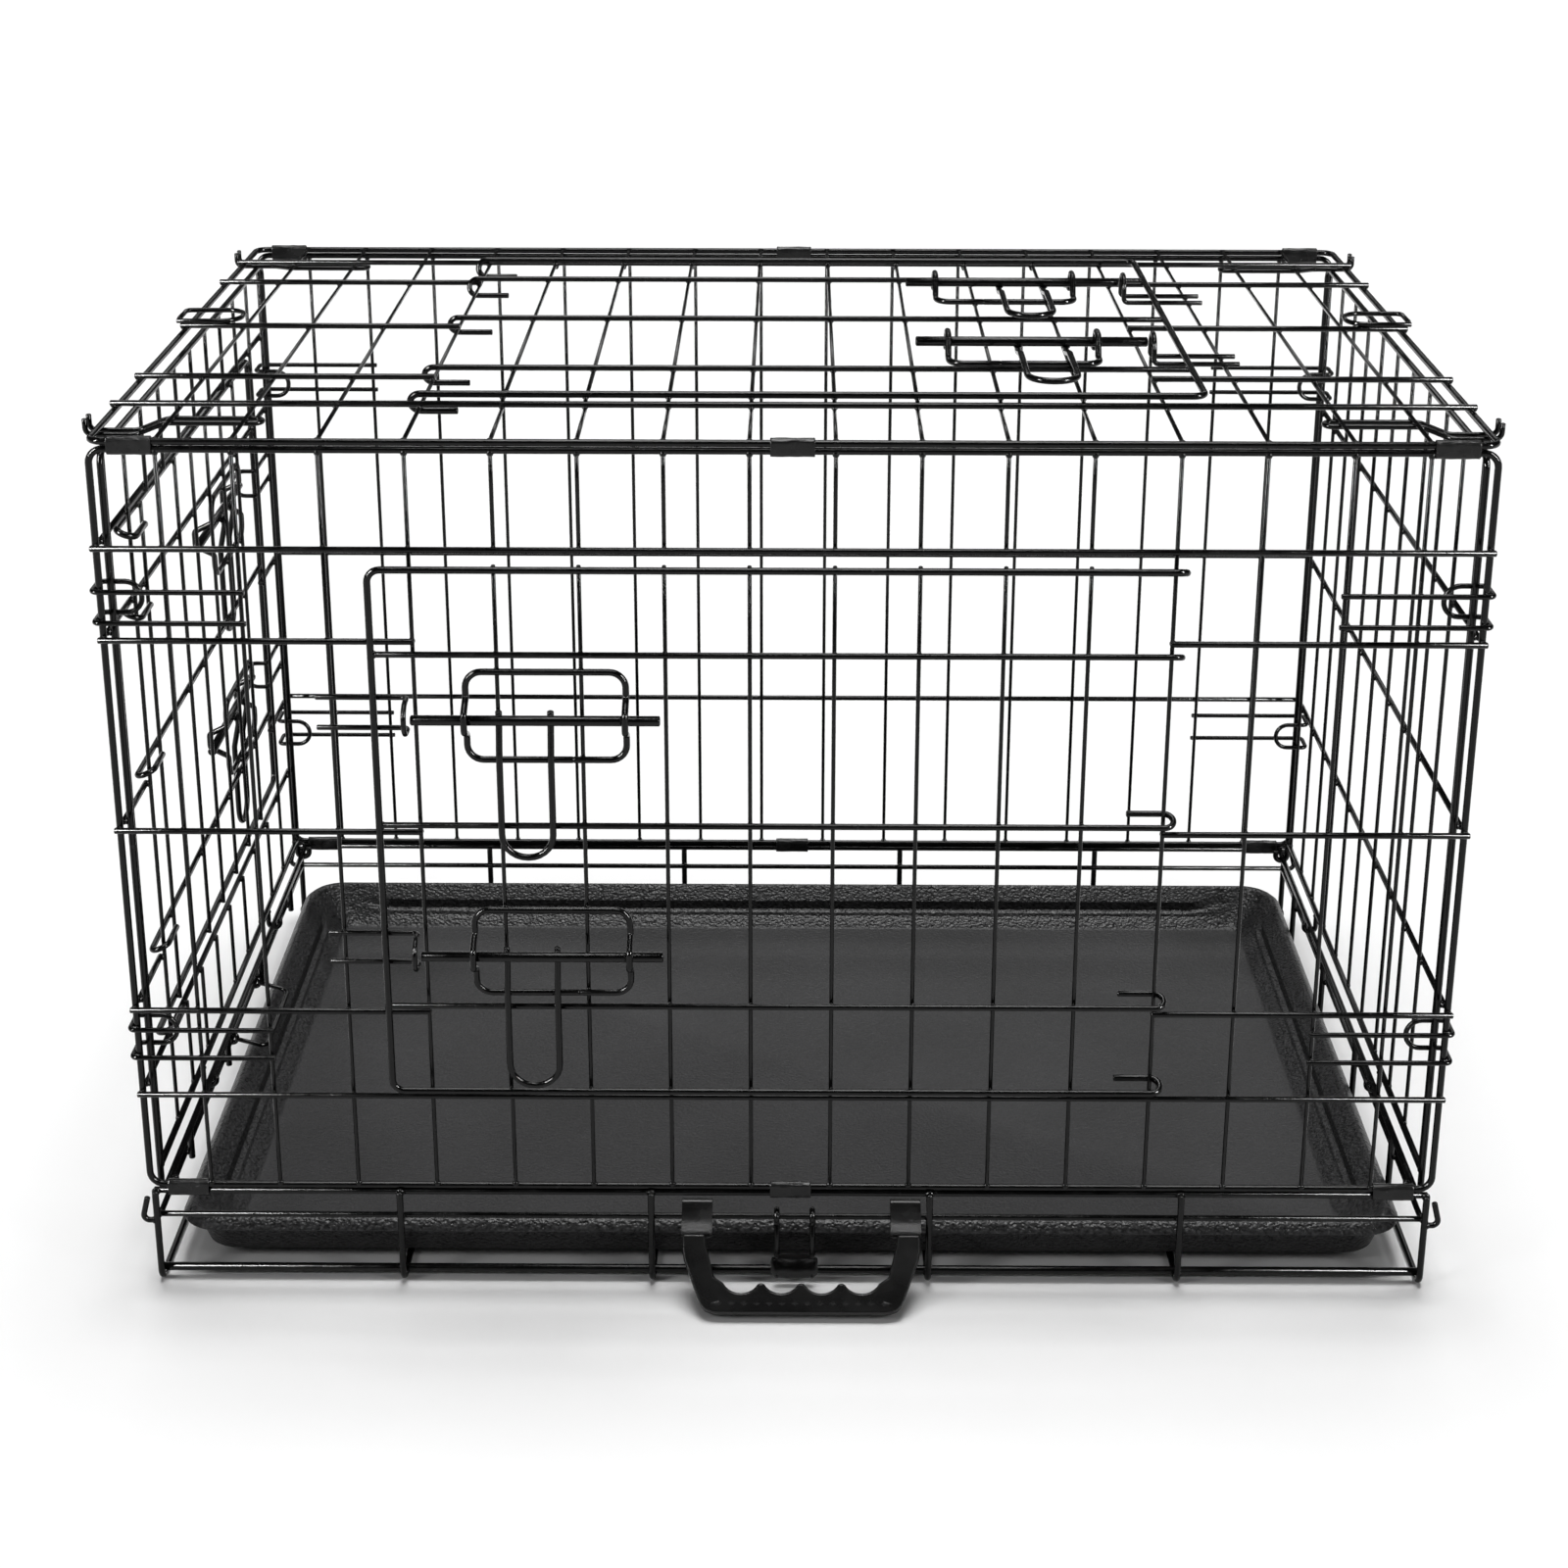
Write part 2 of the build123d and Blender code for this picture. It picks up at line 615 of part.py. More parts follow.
def strap(side):
    """A folded strap that grips the handle's tongue, with a wide curl above the middle wire.

    The wire runs between the tongue, whose round end turns on it, and the curl.
    """
    plane = hanging_plane(HANDLE_X + side * STRAP_SPREAD, HANDLE_TILT)
    hollow = CROSS / 2 + HINGE_GAP
    height = STRAP_LENGTH + STRAP_CURL
    fold = Pos(0, STRAP_CURL - height / 2)
    curl = Pos(0, STRAP_CURL)
    outer = curl * Circle(CURL_RADIUS) + fold * Rectangle(2 * (hollow + STRAP_WALL), height)
    inner = curl * Circle(CURL_RADIUS - STRAP_WALL) + fold * Rectangle(2 * hollow, height)
    section = Plane((-STRAP_WIDTH / 2, 0, 0), x_dir=(0, 0, -1), z_dir=(1, 0, 0)) * (outer - inner)
    return plane * extrude(section, amount=STRAP_WIDTH).solid()


def ring(centre, axis, diameter):
    """A closed eye of wire that turns on a middle wire."""
    reach = CROSS / 2 + diameter / 2 + HINGE_GAP
    return Plane(centre, z_dir=axis) * Torus(reach, diameter / 2), reach


def wire_loop(pivot, axis, legs, away, reach, diameter):
    """A U of wire with an eye on each leg: pivot and away give its plane, legs its two sides."""
    pivot, axis, away = Vector(*pivot), Vector(*axis), Vector(*away)
    eye, offset = ring((0, 0, 0), axis, diameter)
    corners = [
        pivot + axis * legs[0] + away * offset, pivot + axis * legs[0] + away * reach,
        pivot + axis * legs[1] + away * reach, pivot + axis * legs[1] + away * offset,
    ]
    loop = bent(corners, [6.0, 6.0], diameter)
    for leg in legs:
        place = pivot + axis * leg
        loop += Pos(place.X, place.Y, place.Z) * eye
    return loop.solid()


def suitcase_tab():
    """A thumb tab across the front of the suitcase clip's legs."""
    width = SUITCASE_LEGS[1] - SUITCASE_LEGS[0] + 2 * CROSS
    tab = Box(width, TAB_HEIGHT, TAB_THICK)
    tab = fillet(tab.edges().filter_by(Axis.Z), 4)
    outwards = CROSS / 2 + TAB_THICK / 2 - SINK / 4
    place = Pos(0, -SUITCASE_REACH + TAB_HEIGHT / 2, outwards)
    return hanging_plane(sum(SUITCASE_LEGS) / 2, SUITCASE_TILT) * place * tab


# Places of the uprights
FRONT_PLACES = [s * PITCH * (i + 0.5) for i in range(7) for s in (-1, 1)]
FRONT_PLACES += [-OUTER_UPRIGHT, OUTER_UPRIGHT]
SIDE_PLACES = [SIDE_PITCH * i for i in range(-SIDE_UPRIGHTS, SIDE_UPRIGHTS + 1)]
DOORWAY = PITCH * 4.5
SIDE_DOORWAY = SIDE_PITCH * (SIDE_UPRIGHTS - 1)

nodes = {
    "base_uprights": base_uprights(),
    "base_floor_runs": base_floor_runs(),
    "base_rails": base_rails(),
    "base_side_wires": base_side_wires(),
    "base_fold_hooks": fold_hooks(),
    "front_panel_frame": panel_frame(front, HALF_WIDTH, PANEL_LOW_Z, PANEL_HIGH_Z),
    "front_panel_uprights": panel_uprights(
        front, FRONT_PLACES, PANEL_LOW_Z, PANEL_HIGH_Z, DOORWAY, DOORWAY_LEVELS
    ),
    "front_panel_crosswires": broken_crosswires(
        front, HALF_WIDTH, DOORWAY, DOORWAY_LEVELS, BROKEN_LEVELS
    ),
    "back_panel_frame": panel_frame(back, HALF_WIDTH, PANEL_LOW_Z, PANEL_HIGH_Z),
    "back_panel_uprights": panel_uprights(
        back, FRONT_PLACES, PANEL_LOW_Z, PANEL_HIGH_Z, 0, DOORWAY_LEVELS
    ),
    "back_panel_crosswires": [
        crosswire(back, -HALF_WIDTH - FRAME / 2, HALF_WIDTH + FRAME / 2, b) for b in BROKEN_LEVELS
    ],
    "top_panel_frame": panel_frame(
        top, HALF_WIDTH, -FRONT_FACE + FRAME / 2, FRONT_FACE - FRAME / 2
    ),
    "top_panel_wires": panel_uprights(
        top, FRONT_PLACES, -FRONT_FACE + FRAME / 2, FRONT_FACE - FRAME / 2, DOORWAY,
        TOP_DOORWAY_LEVELS,
    ),
    "top_panel_crosswires": broken_crosswires(
        top, HALF_WIDTH, DOORWAY, TOP_DOORWAY_LEVELS, TOP_BROKEN_LEVELS
    ),
    "hinge_sleeves": [
        sleeve(x, side, z)
        for x in SLEEVE_CENTRES
        for side in (-1, 1)
        for z in (BASE_RAIL_Z, PANEL_HIGH_Z)
    ],
    "corner_clips": [
        corner_clip(sx, sy, level) for sx in (-1, 1) for sy in (-1, 1) for level in CLIP_LEVELS
    ],
    "top_edge_clips": top_loops(),
    "top_corner_hooks": [
        solid for sx in (-1, 1) for sy in (-1, 1) for solid in top_hook(sx, sy)
    ],
    "tray": [tray()],
    "pan_stop": [
        wire_loop(
            (-MID_SIDE_X, 0, BASE_MID_Z), (0, 1, 0), STOP_LEGS,
            (math.cos(math.radians(STOP_TILT)), 0, -math.sin(math.radians(STOP_TILT))),
            STOP_REACH, CLIP,
        )
    ],
    "carry_handle_grip": [carry_handle()],
    "carry_handle_straps": [strap(-1), strap(1)],
    "suitcase_clip": [
        wire_loop(
            (0, -MID_Y, BASE_MID_Z), (1, 0, 0), SUITCASE_LEGS,
            (0, -math.sin(math.radians(SUITCASE_TILT)), -math.cos(math.radians(SUITCASE_TILT))),
            SUITCASE_REACH, CROSS,
        )
    ],
    "suitcase_clip_tab": [suitcase_tab()],
}

for name, face in (("left", left), ("right", right)):
    nodes[f"{name}_panel_frame"] = side_frame(face)
    nodes[f"{name}_panel_hooks"] = side_hooks(face)
nodes["left_panel_uprights"] = panel_uprights(
    left, SIDE_PLACES, SIDE_LOW_Z, SIDE_HIGH_Z, SIDE_DOORWAY, DOORWAY_LEVELS
)
nodes["right_panel_uprights"] = panel_uprights(
    right, SIDE_PLACES, SIDE_LOW_Z, SIDE_HIGH_Z, 0, DOORWAY_LEVELS
)
nodes["left_panel_crosswires"] = broken_crosswires(
    left, HALF_SIDE, SIDE_DOORWAY, DOORWAY_LEVELS, BROKEN_LEVELS
)
nodes["right_panel_crosswires"] = [
    crosswire(right, -HALF_SIDE - FRAME / 2, HALF_SIDE + FRAME / 2, b) for b in BROKEN_LEVELS
]

for name, face, doorway, places, full, broken in (
    ("front", front, DOORWAY, FRONT_PLACES, DOORWAY_LEVELS, BROKEN_LEVELS),
    ("left", left, SIDE_DOORWAY, SIDE_PLACES, DOORWAY_LEVELS, BROKEN_LEVELS),
    ("top", top, DOORWAY, FRONT_PLACES, TOP_DOORWAY_LEVELS, TOP_BROKEN_LEVELS),
):
    frame, crosswires, uprights, levels = door_parts(face, doorway, places, full, broken)
    nodes[f"{name}_door_frame"] = frame
    nodes[f"{name}_door_crosswires"] = crosswires
    nodes[f"{name}_door_uprights"] = uprights
    nodes[f"{name}_door_latch_frames"] = [latch_frame(face, doorway, b) for b in levels]
    nodes[f"{name}_door_keepers"] = [keeper(face, doorway, b) for b in levels]
    for end, level in zip(("lower", "upper"), levels):
        nodes[f"{name}_door_{end}_bolt"] = [bolt(face, doorway, level)]
        nodes[f"{name}_door_{end}_handle"] = [bolt_handle(face, doorway, level)]

os.makedirs("parts", exist_ok=True)
for name, solids in nodes.items():
    export_step(Compound(children=list(solids)) if len(solids) > 1 else solids[0], f"parts/{name}.step")
print(len(nodes), "nodes,", sum(len(solids) for solids in nodes.values()), "solids")
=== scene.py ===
"""Looks of a folding wire dog crate: smooth welded wire, crimped sleeves, tray and carry handle.

Lengths are in millimetres until a mesh is made. As in the part, every panel is drawn in face
coordinates: a along its width, b along its height and c outwards, with c = 0 on the plane where
its uprights touch its crosswires.
"""

import json
import math

import bmesh
import bpy
from mathutils import Matrix, Vector, noise

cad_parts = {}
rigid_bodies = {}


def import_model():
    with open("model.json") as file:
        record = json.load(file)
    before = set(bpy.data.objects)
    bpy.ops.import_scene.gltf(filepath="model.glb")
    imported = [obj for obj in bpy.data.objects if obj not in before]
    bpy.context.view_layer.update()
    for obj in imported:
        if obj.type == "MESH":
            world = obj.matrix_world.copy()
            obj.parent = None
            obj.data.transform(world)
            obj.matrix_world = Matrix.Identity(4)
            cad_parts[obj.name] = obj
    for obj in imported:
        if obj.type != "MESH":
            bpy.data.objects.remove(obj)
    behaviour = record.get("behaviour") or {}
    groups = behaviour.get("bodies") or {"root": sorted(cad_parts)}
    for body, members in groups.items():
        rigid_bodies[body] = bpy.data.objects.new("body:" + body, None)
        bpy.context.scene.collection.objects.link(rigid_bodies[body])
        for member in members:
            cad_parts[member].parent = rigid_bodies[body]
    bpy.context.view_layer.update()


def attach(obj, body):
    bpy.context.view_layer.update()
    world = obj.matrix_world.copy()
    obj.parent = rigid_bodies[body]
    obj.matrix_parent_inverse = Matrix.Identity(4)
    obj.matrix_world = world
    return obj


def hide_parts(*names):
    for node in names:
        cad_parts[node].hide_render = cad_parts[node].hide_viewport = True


MM = 0.001

# Wire diameters
THIN, CROSS, FRAME, FLOOR, LATCH, BOLT, CLIP = 2.4, 3.5, 4.0, 5.0, 3.8, 5.8, 3.0
SINK = 0.1

# Planes, widths and heights
FRONT_FACE, SIDE_FACE, TOP_FACE = 238.0, 375.5, 522.5
HALF_WIDTH, HALF_SIDE, CORNER = 377.0, 226.0, 8.0
BASE_RAIL_Z, BASE_MID_Z, RUN_Z = 60.0, 44.0, 2.0
PANEL_LOW_Z, PANEL_HIGH_Z = 64.2, 516.3
SIDE_LOW_Z, SIDE_HIGH_Z = 70.0, 512.0

# Wires of the panels
PITCH, OUTER_UPRIGHT, SIDE_PITCH, SIDE_UPRIGHTS = 46.2, 341.0, 43.6, 5
# Levels of the crosswires: whole ones, and ones that the doorway interrupts
LEVELS = {"side": ([126.0, 461.0], [181.0, 294.0, 408.0]), "top": ([-174.0, 180.0], [-116.0, 3.0, 121.0])}
FRONT_PLACES = [s * PITCH * (i + 0.5) for i in range(7) for s in (-1, 1)] + [-OUTER_UPRIGHT, OUTER_UPRIGHT]
SIDE_PLACES = [SIDE_PITCH * i for i in range(-SIDE_UPRIGHTS, SIDE_UPRIGHTS + 1)]
DOORWAY, SIDE_DOORWAY = PITCH * 4.5, SIDE_PITCH * (SIDE_UPRIGHTS - 1)

# Doors and latches
DOOR_FACE, DOOR_MARGIN, DOOR_CORNER = 4.0, 22.0, 7.0
DOOR_LOW_GAP, DOOR_HIGH_GAP, DOOR_OFFSET = 6.0, 10.0, 6.0
HOOK_SPAN, HOOK_RETURN, HOOK_RISE = 10.3, 20.0, 4.0
LATCH_HEIGHTS = [0.282, 0.734]
BOLT_C, BOLT_LENGTH, BOLT_TIP = DOOR_FACE + 8.5, 137.0, 1.1
EYE_SETBACK, EYE_HALF, EYE_GAP, KEEPER_LENGTH = 4.1, 9.0, 0.6, 50.0
LATCH_START, LATCH_LENGTH, LATCH_HALF = 28.9, 88.0, 26.0
KINK_WIDE, KINK_NARROW, KINK_GAP = 11.0, 5.0, 0.5
HANDLE_START, HANDLE_WIDTH, HANDLE_DROP = 46.9, 28.5, 83.0
HANDLE_BACK, HANDLE_STUB, HANDLE_FRONT_C, HANDLE_BENDS = 5.15, 3.2, 11.0, (5.0, 22.0)
DOOR_HOOK_C = DOOR_FACE + CROSS / 2 - SINK - HOOK_SPAN

# Base
BASE_UPRIGHTS, BASE_SIDE_UPRIGHTS = [82.0, 230.0, 374.0], [56.0, 168.0]
BASE_SIDE_X, BASE_BEND, HINGE_GAP = 369.15, 6.0, 0.35
BASE_END_X, BASE_RAIL_Y = BASE_UPRIGHTS[-1], FRONT_FACE - FRAME / 2
BASE_OUT_Y = FRONT_FACE + FRAME / 2 - SINK
NEST = (BASE_BEND - FRAME / 2 - FLOOR / 2 + SINK) * math.sqrt(0.5)
FLOOR_WIRE_Y, FLOOR_WIRE_Z = BASE_OUT_Y - BASE_BEND + NEST, RUN_Z + BASE_BEND - NEST
MID_Y = FRONT_FACE - CROSS / 2
MID_SIDE_X = BASE_SIDE_X + FRAME / 2 + CROSS / 2 - SINK
FOLD_HOOK_OUT, FOLD_HOOK_TIP_OUT, FOLD_HOOK_BEND = 6.8, 3.0, 3.5
FOLD_HOOK_LOW_Z, FOLD_HOOK_TIP_Z = 42.0, 57.0

# Sleeves, clips and hooks of the fixed panels
SLEEVE_CENTRES, SLEEVE_LENGTH, SLEEVE_WALL, SLEEVE_GAP = (-354.6, 0.0, 354.6), 24.0, 1.0, 0.15
CLIP_LEVELS, CLIP_HALF = (159.0, 427.0), 9.0
CLIP_START_X, CLIP_END_X, CLIP_OUT_X, CLIP_IN_Y = 298.0, 358.0, 380.9, 221.6
TOP_LOOP_OUT, TOP_LOOP_IN, TOP_LOOP_Y = 4.0, 34.0, (2.0, 30.0)
TOP_HOOK_Y, TOP_HOOK_SHIFT, TOP_HOOK_OUT_X = (194.5, 185.5), 15.5, 384.5
TOP_HOOK_BENDS_X, TOP_HOOK_INNER_X = (345.0, 358.0), 292.0
TOP_HOOK_UNDER_Z, TOP_HOOK_TIP_Z = 516.4, 525.2
WELDED_UPRIGHTS_X = (300.3, 341.0)  # uprights that the clips and hooks are welded to

# Tray, carry handle, suitcase clip and pan stop
TRAY_WIDTH, TRAY_DEPTH, TRAY_CORNER, LEDGE_INSET = 732.0, 462.0, 24.0, 46.0
HANDLE_X, HANDLE_TILT, STRAP_SPREAD = 6.5, 45.0, 61.6
GRIP_TOP_Y, GRIP_BOTTOM_Y, GRIP_INNER_Y, GRIP_HALF_THICK = -11.5, -57.0, -42.0, 4.5
FINGERS, FINGER_PITCH, GROOVE_WIDE, GROOVE_DEEP = 4, 23.5, 11.6, 10.9
STUDS, STUD_PITCH, STUD_Y = 12, 7.4, -51.2
STRAP_WIDTH, STRAP_WALL, STRAP_CURL, STRAP_LOW = 18.0, 1.2, 6.3, -11.5
CURL_RADIUS, LAP_LENGTH, LAP_RISE = 4.2, 3.2, 0.35
SUITCASE_LEGS, SUITCASE_REACH, SUITCASE_TILT = (-8.0, 13.0), 38.0, 7.0
TAB_WIDTH, TAB_HEIGHT, TAB_Y = 28.0, 15.0, -31.0
STOP_LEGS, STOP_REACH, STOP_TILT = (-28.0, 50.0), 24.0, 15.0
LOOP_BEND = 6.0

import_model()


# Face coordinates to crate coordinates
def front(a, b, c):
    return (a, -(FRONT_FACE + c), b)


def back(a, b, c):
    return (-a, FRONT_FACE + c, b)


def left(a, b, c):
    return (-(SIDE_FACE + c), -a, b)


def right(a, b, c):
    return (SIDE_FACE + c, a, b)


def top(a, b, c):
    return (-a, b, TOP_FACE + c)


# Meshes
class Mesh:
    """Points in millimetres, and faces, that become one Blender object."""

    def __init__(self):
        self.points, self.faces = [], []

    def add(self, points, faces):
        """Adds points, and faces that count from the first of them."""
        start = len(self.points)
        self.points += [tuple(p) for p in points]
        self.faces += [[start + i for i in face] for face in faces]

    def rings(self, rings, closed=False, caps=True):
        """Joins rings of equally many points, one after the other, and closes or caps the ends."""
        n, count = len(rings[0]), len(rings)
        faces = []
        for i in range(count if closed else count - 1):
            j = (i + 1) % count
            for k in range(n):
                m = (k + 1) % n
                faces.append([i * n + k, i * n + m, j * n + m, j * n + k])
        if caps and not closed:
            faces.append(list(range(n))[::-1])
            faces.append([(count - 1) * n + k for k in range(n)])
        self.add([p for ring in rings for p in ring], faces)

    def tube(self, points, bends, diameter, sides=14, closed=False):
        """A round wire through the points, with rounded cut ends."""
        line = closed_route(points, bends) if closed else route(points, bends)
        radius = diameter / 2
        count = len(line)
        if closed:
            ways = [(line[(i + 1) % count] - line[i - 1]).normalized() for i in range(count)]
        else:
            ways = [line[1] - line[0]]
            ways += [line[i + 1] - line[i - 1] for i in range(1, count - 1)]
            ways.append(line[-1] - line[-2])
            ways = [w.normalized() for w in ways]
        side = ways[0].orthogonal().normalized()
        stations = []
        for p, way in zip(line, ways):
            side = (side - way * side.dot(way)).normalized()
            stations.append((p, way, side, way.cross(side)))
        shape = [circle(p, u, w, radius, sides) for p, _, u, w in stations]
        if not closed:
            for end, sign in ((0, -1), (-1, 1)):
                p, way, u, w = stations[end]
                for shrink, out in ((0.93, 0.12), (0.7, 0.26)):
                    ring = circle(p + way * sign * radius * out, u, w, radius * shrink, sides)
                    shape.insert(0 if end == 0 else len(shape), ring)
        self.rings(shape, closed=closed)

    def bead(self, centre, radii, columns=12, rows=7):
        """A rounded lump of weld."""
        centre = Vector(centre)
        points = [centre + Vector((0, 0, radii[2]))]
        for i in range(1, rows):
            t = math.pi * i / rows
            for k in range(columns):
                s = math.tau * k / columns
                points.append(centre + Vector((
                    radii[0] * math.sin(t) * math.cos(s), radii[1] * math.sin(t) * math.sin(s),
                    radii[2] * math.cos(t),
                )))
        points.append(centre - Vector((0, 0, radii[2])))
        last = len(points) - 1
        faces = [[0, 1 + k, 1 + (k + 1) % columns] for k in range(columns)]
        for i in range(rows - 2):
            a, b = 1 + i * columns, 1 + (i + 1) * columns
            for k in range(columns):
                m = (k + 1) % columns
                faces.append([a + k, b + k, b + m, a + m])
        a = 1 + (rows - 2) * columns
        faces += [[a + k, last, a + (k + 1) % columns] for k in range(columns)]
        self.add(points, faces)

    def weld(self, face, a, b, c, along, across, height):
        """A bead at a crossing of two wires, flat along the face."""
        o, p, q, r = (Vector(face(*v)) for v in ((0, 0, 0), (1, 0, 0), (0, 1, 0), (0, 0, 1)))
        self.bead(face(a, b, c), [
            abs((p - o)[i]) * along + abs((q - o)[i]) * across + abs((r - o)[i]) * height
            for i in range(3)
        ])

    def make(self, name, material, body, nodes, smooth=40.0):
        """Makes the object, which rides on the body and stands for the nodes."""
        data = bpy.data.meshes.new(name)
        data.from_pydata([Vector(p) * MM for p in self.points], [], self.faces)
        bm = bmesh.new()
        bm.from_mesh(data)
        bmesh.ops.recalc_face_normals(bm, faces=bm.faces)
        limit = math.radians(smooth)
        for edge in bm.edges:
            edge.smooth = len(edge.link_faces) == 2 and edge.calc_face_angle(0) < limit
        for f in bm.faces:
            f.smooth = True
        bm.to_mesh(data)
        bm.free()
        obj = bpy.data.objects.new(name, data)
        bpy.context.scene.collection.objects.link(obj)
        data.materials.append(material)
        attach(obj, body)
        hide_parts(*nodes)

    def make_wire(self, name, body, *nodes):
        """Makes a piece of coated wire."""
        self.make(name, WIRE, body, nodes)


def circle(centre, u, w, radius, sides):
    """Points of a circle in the plane of the unit vectors u and w."""
    return [
        centre + (u * math.cos(math.tau * k / sides) + w * math.sin(math.tau * k / sides)) * radius
        for k in range(sides)
    ]


def arc(a, b, c, radius):
    """Points of the bend at b, between a and c."""
    u, w = (a - b).normalized(), (c - b).normalized()
    inside = u.angle(w)
    centre = b + (u + w).normalized() * (radius / math.sin(inside / 2))
    start = b + u * (radius / math.tan(inside / 2)) - centre
    end = b + w * (radius / math.tan(inside / 2)) - centre
    axis = start.cross(end).normalized()
    turn = math.pi - inside
    steps = max(2, math.ceil(turn / math.radians(13)))
    return [centre + Matrix.Rotation(turn * i / steps, 3, axis) @ start for i in range(steps + 1)]


def thinned(points):
    """The points without those that lie on the one before."""
    kept = [points[0]]
    for p in points[1:]:
        if (p - kept[-1]).length > 0.02:
            kept.append(p)
    return kept


def route(points, bends):
    """Points along a wire with one bend radius for each inner corner."""
    points = [Vector(p) for p in points]
    line = [points[0]]
    for i in range(1, len(points) - 1):
        line += arc(points[i - 1], points[i], points[i + 1], bends[i - 1])
    return thinned(line + [points[-1]])


def closed_route(points, bends):
    """Points along a closed wire with one bend radius for each corner."""
    points = [Vector(p) for p in points]
    n = len(points)
    line = []
    for i in range(n):
        line += arc(points[i - 1], points[i], points[(i + 1) % n], bends[i])
    return thinned(line)


# Materials
def material(name):
    """A new material, its shader and its node tree."""
    made = bpy.data.materials.new(name)
    made.use_nodes = True
    tree = made.node_tree
    return made, tree.nodes["Principled BSDF"], tree


def node(tree, kind, inputs=(), **settings):
    """A node whose inputs are linked, where a socket is given, or set."""
    made = tree.nodes.new(kind)
    for key, value in settings.items():
        setattr(made, key, value)
    for key, value in dict(inputs).items():
        if isinstance(value, bpy.types.NodeSocket):
            tree.links.new(value, made.inputs[key])
        else:
            made.inputs[key].default_value = value
    return made


def ramp(tree, factor, low, high, start=0.3, stop=0.7):
    """A value that goes from low to high as the factor goes from start to stop."""
    made = node(tree, "ShaderNodeMapRange", {"Value": factor, "From Min": start, "From Max": stop,
                                             "To Min": low, "To Max": high})
    return made.outputs["Result"]


def grey(tree, factor, dark, light, start=0.3, stop=0.7):
    """A colour that goes from dark to light as the factor goes from start to stop."""
    made = node(tree, "ShaderNodeValToRGB", {"Fac": factor})
    made.color_ramp.elements[0].position, made.color_ramp.elements[0].color = start, (*dark, 1)
    made.color_ramp.elements[1].position, made.color_ramp.elements[1].color = stop, (*light, 1)
    return made.outputs["Color"]


def blend(tree, factor, first, second):
    """The first colour, which goes over to the second as the factor goes from 0 to 1."""
    # A mix node of colours takes its factor at 0 and its colours at 6 and 7, and gives its result at 2
    made = node(tree, "ShaderNodeMix", {0: factor, 6: first, 7: second}, data_type="RGBA")
    return made.outputs[2]


def finish(tree, shader, colour, roughness, relief, strength, distance, specular):
    """Links a shader's colour, roughness and bump, and sets its specular level."""
    tree.links.new(colour, shader.inputs["Base Color"])
    tree.links.new(roughness, shader.inputs["Roughness"])
    bump = node(tree, "ShaderNodeBump", {"Height": relief, "Strength": strength, "Distance": distance})
    tree.links.new(bump.outputs["Normal"], shader.inputs["Normal"])
    shader.inputs["Specular IOR Level"].default_value = specular


def powder_coat(name, shade, rough, wear):
    """Gloss black powder coat: orange peel, faint clouding and small rubbed spots."""
    made, shader, tree = material(name)
    place = node(tree, "ShaderNodeTexCoord").outputs["Object"]
    cloud = node(tree, "ShaderNodeTexNoise", {"Vector": place, "Scale": 60.0, "Detail": 4.0})
    peel = node(tree, "ShaderNodeTexNoise", {"Vector": place, "Scale": 900.0, "Detail": 2.0})
    rubbed = node(tree, "ShaderNodeTexNoise", {"Vector": place, "Scale": 260.0, "Detail": 5.0})
    base = grey(tree, cloud.outputs["Fac"], (shade * 0.7,) * 3, (shade * 1.4,) * 3)
    worn = ramp(tree, rubbed.outputs["Fac"], 0.0, wear, 0.66, 0.74)
    mixed = blend(tree, worn, base, (0.16, 0.16, 0.165, 1))
    roughness = ramp(tree, cloud.outputs["Fac"], rough - 0.06, rough + 0.1)
    finish(tree, shader, mixed, roughness, peel.outputs["Fac"], 0.16, 0.0004, 0.2)
    return made


def pebbled_plastic(name):
    """Moulded tray plastic: a fine leathery pebble, coarser and glossier on the walls, and faint scuffs; the
    walls' colour is speckled lighter and darker, partly the plastic's grain and partly a painted sparkle of
    the pebble.
    """
    made, shader, tree = material(name)
    place = node(tree, "ShaderNodeTexCoord").outputs["Object"]
    stretch = node(tree, "ShaderNodeMapping", {"Vector": place, "Scale": (0.85, 1.0, 1.0)})
    stretched = stretch.outputs["Vector"]
    pebble = node(tree, "ShaderNodeTexVoronoi", {"Vector": stretched, "Scale": 600.0}, feature="SMOOTH_F1")
    fine = node(tree, "ShaderNodeTexNoise", {"Vector": stretched, "Scale": 430.0, "Detail": 3.0})
    scuff = node(tree, "ShaderNodeTexNoise", {"Vector": place, "Scale": 9.0, "Detail": 7.0})
    height = node(tree, "ShaderNodeSeparateXYZ", {"Vector": place}).outputs["Z"]
    wall = ramp(tree, height, 0.0, 1.0, 0.0112, 0.0128)
    flat = grey(tree, scuff.outputs["Fac"], (0.02, 0.02, 0.0204), (0.03, 0.03, 0.031))
    # On the walls the colour is speckled lighter and darker with the fine grain: partly the plastic's grain,
    # partly a painted sparkle that stands in for highlights on the pebble
    grain_and_painted_sparkle = grey(tree, fine.outputs["Fac"], (0.012, 0.012, 0.0122), (0.034, 0.034, 0.035), 0.38, 0.66)
    grain = ramp(tree, fine.outputs["Fac"], 0.4, 0.6)
    rough = node(tree, "ShaderNodeMath", {0: wall, 1: -0.16, 2: grain}, operation="MULTIPLY_ADD")
    relief = node(
        tree, "ShaderNodeMath", {0: pebble.outputs["Distance"], 1: fine.outputs["Fac"]}, operation="ADD")
    strength = ramp(tree, wall, 0.45, 0.7, 0.0, 1.0)
    colour = blend(tree, wall, flat, grain_and_painted_sparkle)
    finish(tree, shader, colour, rough.outputs[0], relief.outputs[0], strength, 0.0008, 0.3)
    return made


